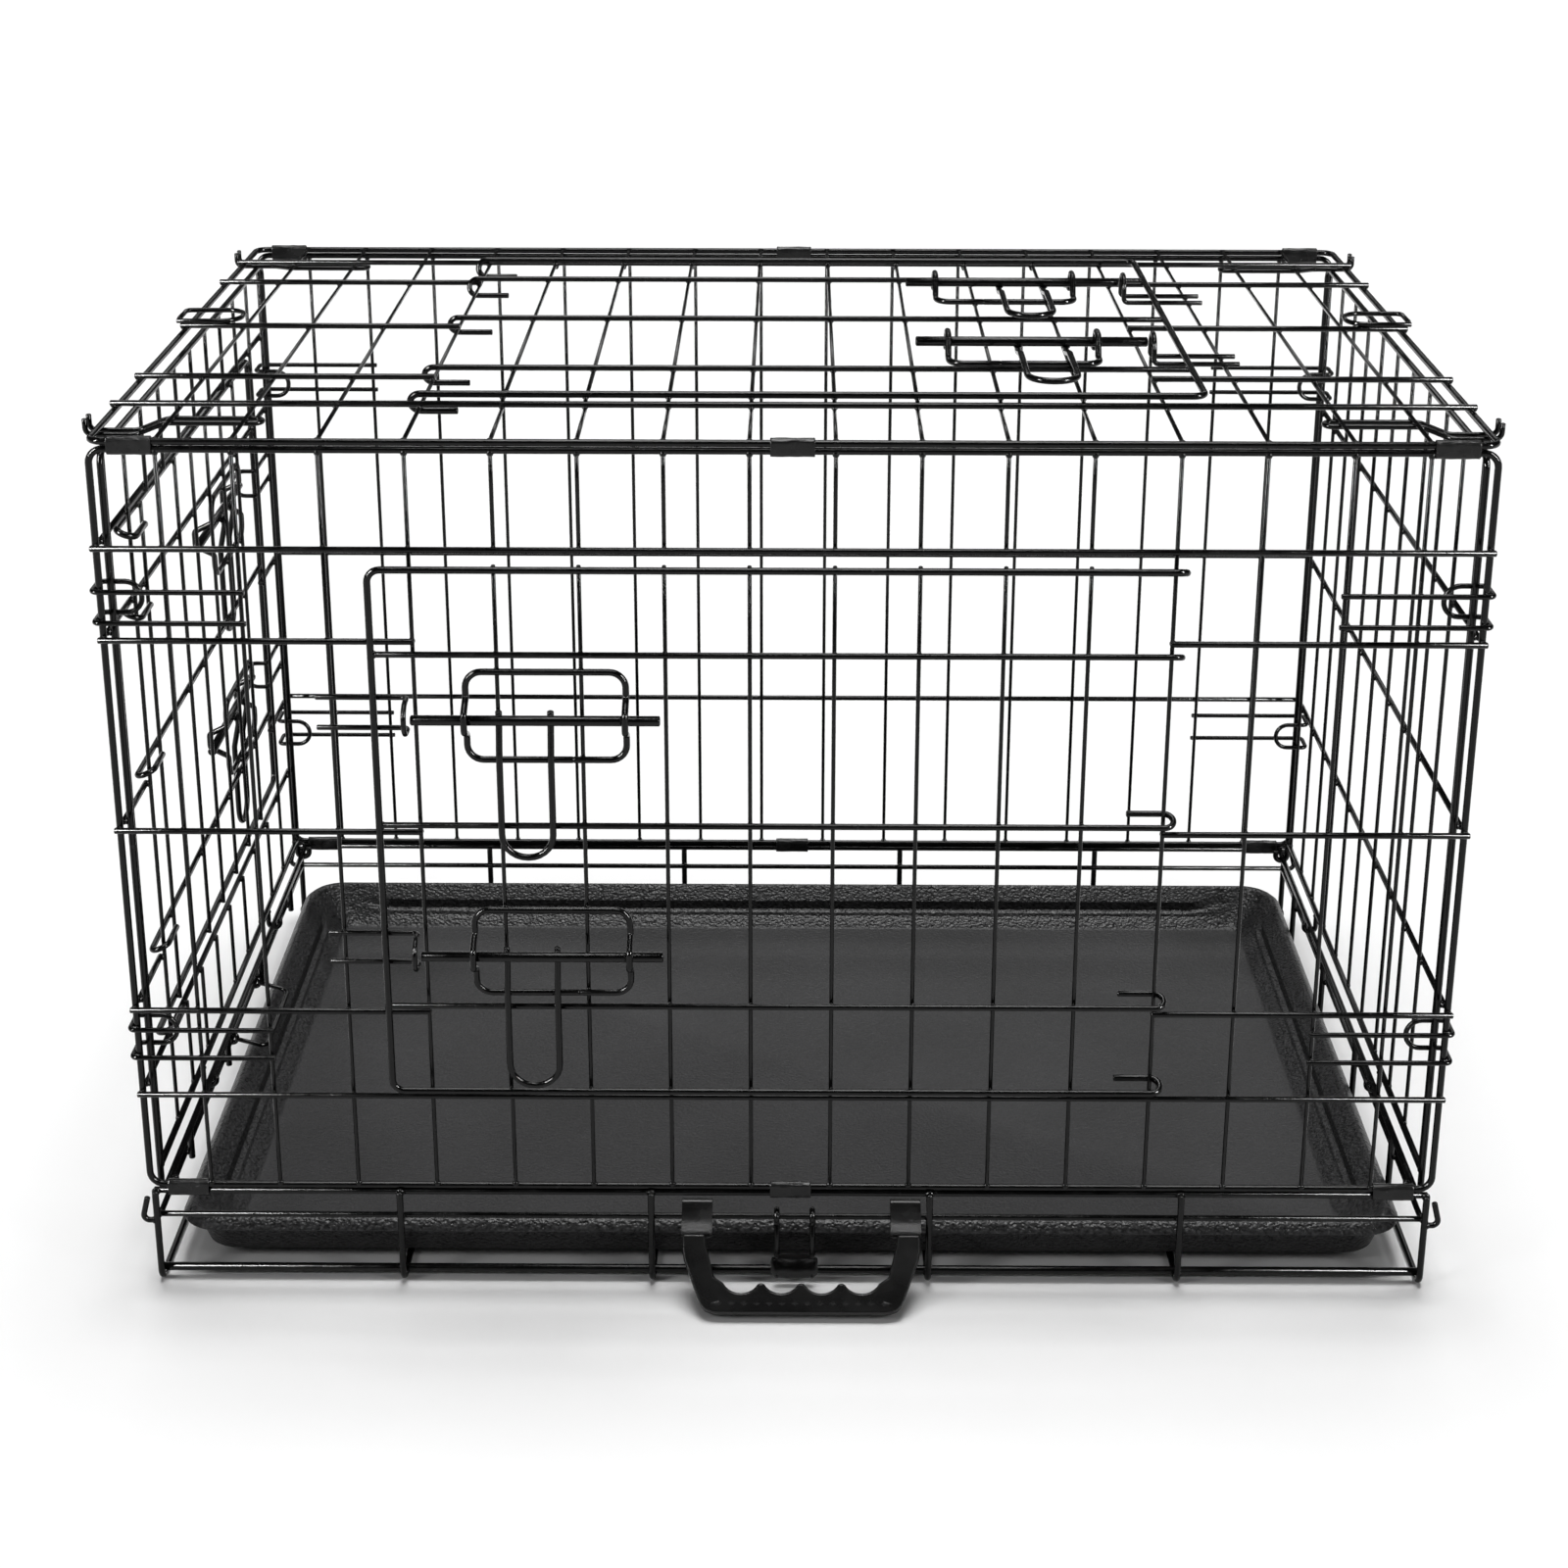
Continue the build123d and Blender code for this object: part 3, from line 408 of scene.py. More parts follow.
def satin_plastic(name, shade, rough, grain):
    """Moulded black plastic: faint clouding and a very fine grain."""
    made, shader, tree = material(name)
    place = node(tree, "ShaderNodeTexCoord").outputs["Object"]
    cloud = node(tree, "ShaderNodeTexNoise", {"Vector": place, "Scale": 45.0, "Detail": 6.0})
    fine = node(tree, "ShaderNodeTexNoise", {"Vector": place, "Scale": 1500.0, "Detail": 3.0})
    colour = grey(tree, cloud.outputs["Fac"], (shade * 0.75,) * 3, (shade * 1.35,) * 3)
    roughness = ramp(tree, cloud.outputs["Fac"], rough - 0.05, rough + 0.1)
    finish(tree, shader, colour, roughness, fine.outputs["Fac"], grain, 0.0003, 0.35)
    return made


WIRE = powder_coat("gloss_black_wire", 0.0025, 0.12, 0.1)
SHEET = powder_coat("black_sheet_steel", 0.012, 0.24, 0.5)
TRAY = pebbled_plastic("tray_plastic")
GRIP = satin_plastic("grip_plastic", 0.009, 0.27, 0.25)
TAB = satin_plastic("tab_plastic", 0.008, 0.12, 0.05)


# Wires of the panels
def rim(mesh, face, half, low, high):
    """A closed wire round a panel."""
    c = -FRAME / 2
    corners = [face(-half, low, c), face(half, low, c), face(half, high, c), face(-half, high, c)]
    mesh.tube(corners, [CORNER] * 4, FRAME, closed=True)


def crosswire(mesh, face, start, end, level):
    """A wire across a face, on the outside of its uprights."""
    mesh.tube([face(start, level, CROSS / 2 - SINK), face(end, level, CROSS / 2 - SINK)], [], CROSS)


def upright(mesh, face, a, low, high):
    """A thin wire up a face."""
    mesh.tube([face(a, low, -THIN / 2), face(a, high, -THIN / 2)], [], THIN, sides=12)


def panel(name, face, body, half, places, bounds, doorway, full, broken, wires="uprights", framed=True):
    """A panel's rim, uprights and crosswires, with a weld at every crossing."""
    low, high = bounds
    thin, thick = Mesh(), Mesh()
    for a in places:
        ends = [(low + FRAME / 2 - SINK, high - FRAME / 2 + SINK)]
        if abs(a) < doorway - 1:
            ends = [(ends[0][0], full[0] + CROSS / 2), (full[1] - CROSS / 2, ends[0][1])]
        for start, stop in ends:
            upright(thin, face, a, start, stop)
        for b in (low, high):
            thin.weld(face, a, b + (1.4 if b == low else -1.4), -THIN / 2, 2.0, 2.2, 1.5)
    for b in full + broken:
        spans = [(-half - FRAME / 2, half + FRAME / 2)]
        if b in broken and doorway:
            spans = [(spans[0][0], -doorway + THIN / 2), (doorway - THIN / 2, spans[0][1])]
        for start, stop in spans:
            crosswire(thick, face, start, stop, b)
            for a in places:
                if start - 1 < a < stop + 1:
                    thick.weld(face, a, b, 0.1, 1.9, 2.1, 1.3)
        for a in (-half, half):
            thick.weld(face, a, b, 0.2, 2.4, 2.2, 1.2)
    prefix = f"{name}_panel"
    thin.make_wire(f"{prefix}_{wires}_smooth", body, f"{prefix}_{wires}")
    thick.make_wire(f"{prefix}_crosswires_smooth", body, f"{prefix}_crosswires")
    if framed:
        mesh = Mesh()
        rim(mesh, face, half, low, high)
        mesh.make_wire(f"{prefix}_rim", body, f"{prefix}_frame")


panel("front", front, "crate", HALF_WIDTH, FRONT_PLACES, (PANEL_LOW_Z, PANEL_HIGH_Z), DOORWAY,
      *LEVELS["side"])
panel("back", back, "crate", HALF_WIDTH, FRONT_PLACES, (PANEL_LOW_Z, PANEL_HIGH_Z), 0,
      [], LEVELS["side"][1])
panel("top", top, "crate", HALF_WIDTH, FRONT_PLACES, (-FRONT_FACE + FRAME / 2, FRONT_FACE - FRAME / 2),
      DOORWAY, *LEVELS["top"], wires="wires")
panel("left", left, "left_panel", HALF_SIDE, SIDE_PLACES, (SIDE_LOW_Z, SIDE_HIGH_Z), SIDE_DOORWAY,
      *LEVELS["side"], framed=False)
panel("right", right, "right_panel", HALF_SIDE, SIDE_PLACES, (SIDE_LOW_Z, SIDE_HIGH_Z), 0, [],
      LEVELS["side"][1], framed=False)


def side_rim(name, face):
    """A side panel's posts and top rail in one wire, hooked round the base's rail, and its lower rail."""
    c = -FRAME / 2
    span = 2 * (SIDE_FACE + c - BASE_SIDE_X)
    turn = span / 2 - 0.05
    low = BASE_RAIL_Z - span / 2
    mesh = Mesh()
    points = [face(-HALF_SIDE, BASE_RAIL_Z + 3, c - span), face(-HALF_SIDE, low, c - span)]
    points += [face(-HALF_SIDE, low, c), face(-HALF_SIDE, SIDE_HIGH_Z, c)]
    points += [face(HALF_SIDE, SIDE_HIGH_Z, c), face(HALF_SIDE, low, c)]
    points += [face(HALF_SIDE, low, c - span), face(HALF_SIDE, BASE_RAIL_Z + 3, c - span)]
    mesh.tube(points, [turn, turn, CORNER, CORNER, turn, turn], FRAME)
    inside = HALF_SIDE - FRAME / 2 + SINK
    mesh.tube([face(-inside, SIDE_LOW_Z, c), face(inside, SIDE_LOW_Z, c)], [], FRAME)
    for a in (-inside, inside):
        mesh.weld(face, a, SIDE_LOW_Z, c, 1.6, 2.6, 2.3)
    mesh.make_wire(f"{name}_panel_rim", f"{name}_panel", f"{name}_panel_frame")


def side_hooks(name, face):
    """Two hooks between a side panel's posts, round the base's rail."""
    reach = FRAME / 2 + CROSS / 2 + HINGE_GAP
    turn = reach - 0.05
    middle = BASE_SIDE_X - SIDE_FACE
    low = BASE_RAIL_Z - reach
    mesh = Mesh()
    for a in (-2.5 * SIDE_PITCH, 2.5 * SIDE_PITCH):
        points = [face(a, SIDE_LOW_Z - 1, middle + reach), face(a, low, middle + reach)]
        points += [face(a, low, middle - reach), face(a, BASE_RAIL_Z + 2, middle - reach)]
        mesh.tube(points, [turn, turn], CROSS)
        mesh.weld(face, a, SIDE_LOW_Z - 1.8, middle + reach, 2.2, 1.6, 2.3)
    mesh.make_wire(f"{name}_panel_hooks_smooth", f"{name}_panel", f"{name}_panel_hooks")


for name, face in (("left", left), ("right", right)):
    side_rim(name, face)
    side_hooks(name, face)


# Base
def mirrored(places):
    """Each place on the negative and the positive side."""
    return [s * place for place in places for s in (-1, 1)]


def base_uprights():
    """The wires that go down the front wall, under the tray and up the back wall."""
    mesh = Mesh()
    y = BASE_OUT_Y
    for x in mirrored(BASE_UPRIGHTS):
        points = [(x, -y, BASE_RAIL_Z + 1), (x, -y, RUN_Z), (x, y, RUN_Z), (x, y, BASE_RAIL_Z + 1)]
        mesh.tube(points, [BASE_BEND] * 2, FRAME, sides=16)
        for s in (-1, 1):
            mesh.bead((x, s * FRONT_FACE, BASE_RAIL_Z), (2.6, 1.5, 2.6))
            mesh.bead((x, s * FRONT_FACE, BASE_MID_Z), (2.5, 1.2, 2.2))
            mesh.bead((x, s * (FLOOR_WIRE_Y + 1.9), FLOOR_WIRE_Z - 1.9), (2.6, 1.2, 1.4))
    mesh.make_wire("base_wires", "crate", "base_uprights", "base_floor_runs")


def base_rails():
    """The rails and middle wires of the four walls, and the floor wires at the front and back."""
    mesh = Mesh()
    long_wires = ((BASE_RAIL_Y, BASE_RAIL_Z, FRAME), (MID_Y, BASE_MID_Z, CROSS),
                  (FLOOR_WIRE_Y, FLOOR_WIRE_Z, FLOOR))
    for side in (-1, 1):
        for y, z, diameter in long_wires:
            ends = [(-BASE_END_X - 1, side * y, z), (BASE_END_X + 1, side * y, z)]
            mesh.tube(ends, [], diameter, sides=16)
        inside = BASE_RAIL_Y - FRAME / 2 + SINK
        x = side * BASE_SIDE_X
        mesh.tube([(x, -inside, BASE_RAIL_Z), (x, inside, BASE_RAIL_Z)], [], FRAME, sides=16)
        inside = MID_Y - CROSS / 2 + SINK
        mid_x = side * MID_SIDE_X
        mesh.tube([(mid_x, -inside, BASE_MID_Z), (mid_x, inside, BASE_MID_Z)], [], CROSS)
        for s in (-1, 1):
            mesh.bead((x, s * (BASE_RAIL_Y - 1.6), BASE_RAIL_Z), (2.6, 1.6, 2.2))
            mesh.bead((mid_x, s * (MID_Y - 1.4), BASE_MID_Z), (2.3, 1.5, 1.9))
    mesh.make_wire("base_rails_smooth", "crate", "base_rails")


def base_cross_wires():
    """The wires across the floor, which go up the right wall, and the left wall's short ties."""
    mesh = Mesh()
    run_z = RUN_Z + FRAME - SINK
    top_z = BASE_RAIL_Z - FRAME / 2 + SINK
    for y in mirrored(BASE_SIDE_UPRIGHTS):
        points = [(-BASE_END_X, y, run_z), (BASE_SIDE_X, y, run_z), (BASE_SIDE_X, y, top_z)]
        mesh.tube(points, [BASE_BEND], FRAME)
        mesh.tube([(-BASE_SIDE_X, y, BASE_MID_Z - 4), (-BASE_SIDE_X, y, top_z)], [], FRAME)
        for s in (-1, 1):
            mesh.bead((s * BASE_SIDE_X, y, top_z + 0.4), (2.3, 2.5, 1.5))
            mesh.bead((s * (BASE_SIDE_X + 2), y, BASE_MID_Z), (1.2, 2.5, 2.2))
        for x in mirrored(BASE_UPRIGHTS):
            mesh.bead((x, y, FRAME), (2.5, 2.5, 1.2))
    mesh.make_wire("base_cross_wires", "crate", "base_side_wires")


def base_hooks():
    """The upturned fold hooks outside the base's corners."""
    mesh = Mesh()
    x = BASE_END_X + FRAME / 2 - SINK
    hook = [(x, FOLD_HOOK_LOW_Z), (x + FOLD_HOOK_OUT, FOLD_HOOK_LOW_Z)]
    hook.append((x + FOLD_HOOK_TIP_OUT, FOLD_HOOK_TIP_Z))
    for sx in (-1, 1):
        for sy in (-1, 1):
            mesh.tube([(sx * px, sy * BASE_OUT_Y, z) for px, z in hook], [FOLD_HOOK_BEND], CROSS)
            mesh.bead((sx * x, sy * BASE_OUT_Y, FOLD_HOOK_LOW_Z), (1.3, 2.1, 2.3))
    mesh.make_wire("base_hooks", "crate", "base_fold_hooks")


base_uprights()
base_rails()
base_cross_wires()
base_hooks()


# Doors
def door_hook(face, doorway, level, rise, diameter):
    """The end of a door's wire round the doorway's upright, and its bend radius."""
    out, behind = DOOR_FACE + diameter / 2 - SINK, DOOR_HOOK_C - (diameter - CROSS) / 2
    turn = math.hypot(out - behind, rise) / 2 - 0.05
    far = doorway + turn
    points = [face(far, level, out), face(far, level + rise, behind)]
    points.append(face(doorway - HOOK_RETURN, level + rise, behind))
    return points, turn


def door_wires(name, face, doorway, places, low, high, middle):
    """A door's frame, its crosswires at the middle levels, and its uprights."""
    body = f"{name}_door"
    free, c = -doorway - DOOR_MARGIN, DOOR_FACE + FRAME / 2 - SINK
    mesh = Mesh()
    first, turn = door_hook(face, doorway, low, HOOK_RISE, FRAME)
    last, _ = door_hook(face, doorway, high, -HOOK_RISE, FRAME)
    points = first[::-1] + [face(free, low, c), face(free, high, c)] + last
    mesh.tube(points, [turn, turn, DOOR_CORNER, DOOR_CORNER, turn, turn], FRAME, sides=16)
    for level, rise in middle:
        points, turn = door_hook(face, doorway, level, rise, CROSS)
        start = face(free + FRAME / 2 - SINK, level, DOOR_FACE + CROSS / 2 - SINK)
        mesh.tube([start] + points, [turn, turn], CROSS)
        mesh.weld(face, free + 2, level, DOOR_FACE + CROSS / 2, 1.5, 2.2, 1.8)
    mesh.make_wire(f"{body}_wire_frame", body, f"{body}_frame", f"{body}_crosswires")
    mesh = Mesh()
    for a in places:
        if abs(a) < doorway - 1:
            ends = low - CROSS / 2, high + CROSS / 2
            mesh.tube([face(a, b, DOOR_FACE - THIN / 2) for b in ends], [], THIN, sides=12)
            for level in [low, high] + [b for b, _ in middle]:
                mesh.weld(face, a, level, DOOR_FACE, 1.9, 2.1, 1.2)
    mesh.make_wire(f"{body}_uprights_smooth", body, f"{body}_uprights")


def latch_frame(mesh, face, doorway, places, level):
    """A frame of wire that steps out over the bolt at both ends."""
    near = -doorway + LATCH_START
    far = near + LATCH_LENGTH
    mid = (near + far) / 2
    c = DOOR_FACE + LATCH / 2 - SINK
    out = BOLT_C + BOLT / 2 + KINK_GAP + LATCH / 2
    kink = [(KINK_WIDE, c), (KINK_NARROW, out), (-KINK_NARROW, out), (-KINK_WIDE, c)]
    points = [face(mid + 14, level - LATCH_HALF, c), face(near, level - LATCH_HALF, c)]
    points += [face(near, level + b, h) for b, h in kink[::-1]]
    points += [face(near, level + LATCH_HALF, c), face(far, level + LATCH_HALF, c)]
    points += [face(far, level + b, h) for b, h in kink]
    points += [face(far, level - LATCH_HALF, c), face(mid + 14.8, level - LATCH_HALF, c)]
    mesh.tube(points, [9.0] + [3.0] * 4 + [9.0, 9.0] + [3.0] * 4 + [9.0], LATCH)
    for a in places:
        if near - 1 < a < far + 1:
            for b in (-LATCH_HALF, LATCH_HALF):
                mesh.weld(face, a, level + b, DOOR_FACE, 1.9, 2.3, 1.2)


def keeper(mesh, face, doorway, level, welded):
    """An eye of wire for the bolt's tip, on two legs along the panel."""
    eye = -doorway - EYE_SETBACK
    start = eye - KEEPER_LENGTH
    out, c = BOLT_C + BOLT / 2 + EYE_GAP + CLIP / 2, CLIP / 2 - SINK
    above, below = level + EYE_HALF, level - EYE_HALF
    points = [face(start, above, c), face(eye, above, c), face(eye, above, out)]
    points += [face(eye, below, out), face(eye, below, c), face(start, below, c)]
    mesh.tube(points, [3.0, 8.5, 8.5, 3.0], CLIP)
    for a in welded:
        if start - 1 < a < eye - 1:
            for b in (above, below):
                mesh.weld(face, a, b, 0, 1.8, 1.9, 1.0)


def bolt(name, end, face, doorway, level):
    """A slide bolt."""
    mesh = Mesh()
    ends = -doorway - BOLT_TIP + 0.8, -doorway - BOLT_TIP + BOLT_LENGTH - 0.8
    mesh.tube([face(a, level, BOLT_C) for a in ends], [], BOLT, sides=24)
    mesh.make_wire(f"{name}_door_{end}_bolt_round", f"{name}_{end}_bolt", f"{name}_door_{end}_bolt")


def bolt_handle(name, end, face, doorway, level):
    """A U of wire that hangs from the bolt and bends out over the latch frame."""
    mesh = Mesh()
    near = -doorway + HANDLE_START
    far = near + HANDLE_WIDTH
    behind, drop = BOLT_C - HANDLE_BACK, level - HANDLE_DROP
    upper, lower = level - HANDLE_BENDS[0], level - HANDLE_BENDS[1]
    side = [(level + HANDLE_STUB, behind), (upper, behind)]
    side += [(lower, HANDLE_FRONT_C), (drop, HANDLE_FRONT_C)]
    points = [face(near, b, h) for b, h in side] + [face(far, b, h) for b, h in side[::-1]]
    turn = HANDLE_WIDTH / 2 - 0.5
    mesh.tube(points, [6.0, 6.0, turn, turn, 6.0, 6.0], LATCH, sides=16)
    for a in (near, far):
        mesh.weld(face, a, level, behind + 2.0, 2.5, 2.4, 0.9)
    mesh.make_wire(f"{name}_door_{end}_pull", f"{name}_{end}_handle", f"{name}_door_{end}_handle")


def door(name, face, doorway, places, full, broken, home):
    """A door with its latch frames, bolts and handles, and the keepers on its panel."""
    prefix = f"{name}_door"
    low, high = full[0] + DOOR_LOW_GAP, full[1] - DOOR_HIGH_GAP
    middle = [(b + DOOR_OFFSET, HOOK_RISE) for b in broken[:2]] + [(broken[2] - DOOR_OFFSET, -HOOK_RISE)]
    door_wires(name, face, doorway, places, low, high, middle)
    latches, keepers = Mesh(), Mesh()
    posts = [-HALF_SIDE] if name == "left" else []
    for end, share in zip(("lower", "upper"), LATCH_HEIGHTS):
        level = low + (high - low) * share
        latch_frame(latches, face, doorway, places, level)
        keeper(keepers, face, doorway, level, places + posts)
        bolt(name, end, face, doorway, level)
        bolt_handle(name, end, face, doorway, level)
    latches.make_wire(f"{prefix}_latch_loops", prefix, f"{prefix}_latch_frames")
    keepers.make_wire(f"{prefix}_keeper_eyes", home, f"{prefix}_keepers")


door("front", front, DOORWAY, FRONT_PLACES, *LEVELS["side"], "crate")
door("left", left, SIDE_DOORWAY, SIDE_PLACES, *LEVELS["side"], "left_panel")
door("top", top, DOORWAY, FRONT_PLACES, *LEVELS["top"], "crate")


# Sleeves, clips and hooks
def sleeves():
    """Sheet steel crimped round two rails: pinched between them, with a dent that locks it."""
    mesh = Mesh()
    length, gap, wall = SLEEVE_LENGTH, PANEL_LOW_Z - BASE_RAIL_Z, SLEEVE_WALL
    outer = FRAME / 2 + SLEEVE_GAP + wall
    turns, stations = 40, 30

    # Places along the sleeve and how far each section is drawn in, from inside one end to inside the other
    ends = [(length / 2 - 2.5, wall), (length / 2 - 0.3, wall), (length / 2, wall - 0.25), (length / 2, 0.25)]
    sections = [(-x, shrink) for x, shrink in ends]
    sections += [(-length / 2 + 0.3 + (length - 0.6) * i / stations, 0.0) for i in range(stations + 1)]
    sections += ends[::-1]

    def outline(t, x, shrink):
        """A point of the sleeve's section: two half circles, with a waist between them."""
        y, z = math.cos(t), math.sin(t)
        radius = outer - shrink
        waist = math.exp(-((z / 0.55) ** 2))
        dent = math.exp(-(((x - 0.2) / 2.6) ** 2)) * (0.95 if y < 0 else 0.5)
        lift = gap / 2 * math.tanh(3.2 * z)
        side = radius * y * (1 - waist * (0.1 + 0.13 * dent))
        return side, lift + radius * z * (0.98 + 0.02 * math.cos(4 * t))

    for number, (centre, side, low) in enumerate(
        (x, s, z) for x in SLEEVE_CENTRES for s in (-1, 1) for z in (BASE_RAIL_Z, PANEL_HIGH_Z)
    ):
        rings = []
        y0, z0 = side * (FRONT_FACE - FRAME / 2), low + gap / 2
        for x, shrink in sections:
            ring = []
            for k in range(turns):
                dy, dz = outline(math.tau * k / turns, x, shrink)
                wobble = 0.12 * noise.noise(Vector((x * 0.16, k * 0.5, number * 7.3))) if shrink == 0 else 0
                ring.append((centre + x, y0 - side * dy * (1 + wobble), z0 + dz * (1 + wobble * 0.4)))
            rings.append(ring)
        mesh.rings(rings, caps=False)
    mesh.make("hinge_sleeves_crimped", SHEET, "crate", ["hinge_sleeves"], smooth=50)


def corner_clips():
    """Hairpins from the front and back panels round the side panels' posts."""
    mesh = Mesh()
    y = FRONT_FACE + CLIP / 2 - SINK
    way = [(CLIP_START_X, y), (CLIP_OUT_X, y), (CLIP_OUT_X, CLIP_IN_Y), (CLIP_END_X, CLIP_IN_Y)]
    for sx in (-1, 1):
        for sy in (-1, 1):
            for level in CLIP_LEVELS:
                z = [level + CLIP_HALF, level - CLIP_HALF]
                points = [(sx * px, sy * py, z[0]) for px, py in way]
                points += [(sx * px, sy * py, z[1]) for px, py in reversed(way)]
                mesh.tube(points, [3.4, 3.4, 8.8, 8.8, 3.4, 3.4], CLIP)
                for x in (*WELDED_UPRIGHTS_X, HALF_WIDTH):
                    for b in z:
                        mesh.bead((sx * x, sy * FRONT_FACE, b), (1.9, 1.0, 1.8))
    mesh.make_wire("corner_clips_smooth", "crate", "corner_clips")


def top_loops():
    """Loops of wire that lie on the top's side edges."""
    mesh = Mesh()
    z = TOP_FACE + CROSS - SINK + CLIP / 2 - SINK
    for sx in (-1, 1):
        edge, inner = sx * (HALF_WIDTH + TOP_LOOP_OUT), sx * (HALF_WIDTH - TOP_LOOP_IN)
        near, far = TOP_LOOP_Y
        points = [(edge, near, z), (inner, near, z), (inner, far, z), (edge, far, z), (edge, near + 6, z)]
        mesh.tube(points, [12.0, 12.0, 4.0], CLIP)
        for x in (inner + sx * 14, sx * 372):
            mesh.bead((x, 3, z - 1.4), (3.0, 1.9, 1.0))
    mesh.make_wire("top_edge_loops", "crate", "top_edge_clips")


def top_hooks():
    """Hairpins under the top's wires, whose ends pass below its side posts and turn up."""
    mesh = Mesh()
    level = TOP_FACE - THIN - CLIP / 2 + SINK
    legs = []
    for y in TOP_HOOK_Y:
        end_y = y + TOP_HOOK_SHIFT
        legs.append([
            (TOP_HOOK_OUT_X, end_y, TOP_HOOK_TIP_Z), (TOP_HOOK_OUT_X, end_y, TOP_HOOK_UNDER_Z),
            (TOP_HOOK_BENDS_X[1], end_y, TOP_HOOK_UNDER_Z), (TOP_HOOK_BENDS_X[0], y, level),
            (TOP_HOOK_INNER_X, y, level),
        ])
    for sx in (-1, 1):
        for sy in (-1, 1):
            points = [(sx * px, sy * py, pz) for px, py, pz in legs[0] + legs[1][::-1]]
            mesh.tube(points, [4.0, 6.0, 6.0, 4.4, 4.4, 6.0, 6.0, 4.0], CLIP)
            for x in WELDED_UPRIGHTS_X:
                for y in TOP_HOOK_Y:
                    mesh.bead((sx * x, sy * y, TOP_FACE - THIN), (1.8, 1.8, 0.9))
    mesh.make_wire("top_corner_hooks_smooth", "crate", "top_corner_hooks")


sleeves()
corner_clips()
top_loops()
top_hooks()


# Tray
def tray():
    """The tray as rings round it: foot, outer wall, lip, inner wall with long ledges, and floor.

    Each profile point gives (inset, z) on the straight sides, where the inner wall is stepped,
    and (inset, z) near the corners, where it is a plain slope.
    """
    outer = [
        (18.0, 10.3), (17.0, 8.4), (14.6, 8.4), (13.4, 8.5), (12.6, 9.4), (6.6, 28.4), (6.2, 29.6),
        (5.7, 31.3), (4.9, 31.5), (2.4, 28.9), (1.2, 28.6), (0.2, 28.9), (0.1, 29.5), (0.9, 30.7),
        (4.4, 34.0), (5.5, 34.5), (6.6, 34.5), (7.6, 34.0),
    ]
    stepped = [
        (8.4, 33.2), (16.4, 27.2), (17.2, 26.3), (18.0, 20.3), (18.8, 19.6), (21.2, 19.2), (21.9, 18.7),
        (22.3, 17.3), (23.1, 16.7), (30.6, 12.8), (31.6, 11.6), (33.2, 10.9),
    ]
    plain = [
        (8.4, 33.2), (12.0, 29.6), (14.0, 27.6), (16.0, 25.6), (17.5, 24.1), (19.0, 22.6), (20.5, 21.1),
        (22.0, 19.6), (24.0, 17.6), (29.0, 13.0), (31.0, 11.6), (33.2, 10.9),
    ]
    steps = 12
    ledge_ends = ((1.0, 0.0), (0.965, 0.7), (0.94, 1.0), (-0.94, 1.0), (-0.965, 0.7), (-1.0, 0.0))

    def ring(side, corner):
        """A ring round the tray, with one profile point for its sides and one for its corners."""
        x, y = TRAY_WIDTH / 2, TRAY_DEPTH / 2
        radius = TRAY_CORNER - 0.4 * corner[0]
        points = []
        for quarter, (sx, sy) in enumerate(((1, 1), (-1, 1), (-1, -1), (1, -1))):
            inset, z = corner
            cx, cy = sx * (x - inset - radius), sy * (y - inset - radius)
            for i in range(steps + 1):
                t = math.pi / 2 * (quarter + i / steps)
                points.append((cx + radius * math.cos(t), cy + radius * math.sin(t), z))
            along_x = quarter % 2 == 0
            reach = (x if along_x else y) - LEDGE_INSET
            for place, share in ledge_ends:
                inset = corner[0] + (side[0] - corner[0]) * share
                z = corner[1] + (side[1] - corner[1]) * share
                if along_x:
                    points.append((sx * reach * place, sy * (y - inset), z))
                else:
                    points.append((sx * (x - inset), sy * reach * place, z))
        return points

    mesh = Mesh()
    profile = [(p, p) for p in outer] + list(zip(stepped, plain))
    rings = [ring(*pair) for pair in profile]
    mesh.rings(rings, caps=False)
    count = len(rings[0])
    last = (len(rings) - 1) * count
    mesh.faces.append([last + k for k in range(count)])
    mesh.faces.append(list(range(count)))
    mesh.make("tray_moulded", TRAY, "tray", ["tray"], smooth=32)


tray()


# Carry handle, straps, suitcase clip and pan stop
def hanging(x, tilt):
    """Places local points (x across, y up along the part, z outwards) at the front middle wire."""
    lean = math.radians(tilt)
    up, out = Vector((0, math.sin(lean), math.cos(lean))), Vector((0, -math.cos(lean), math.sin(lean)))
    return lambda p: Vector((x + p[0], -MID_Y, BASE_MID_Z)) + up * p[1] + out * p[2]


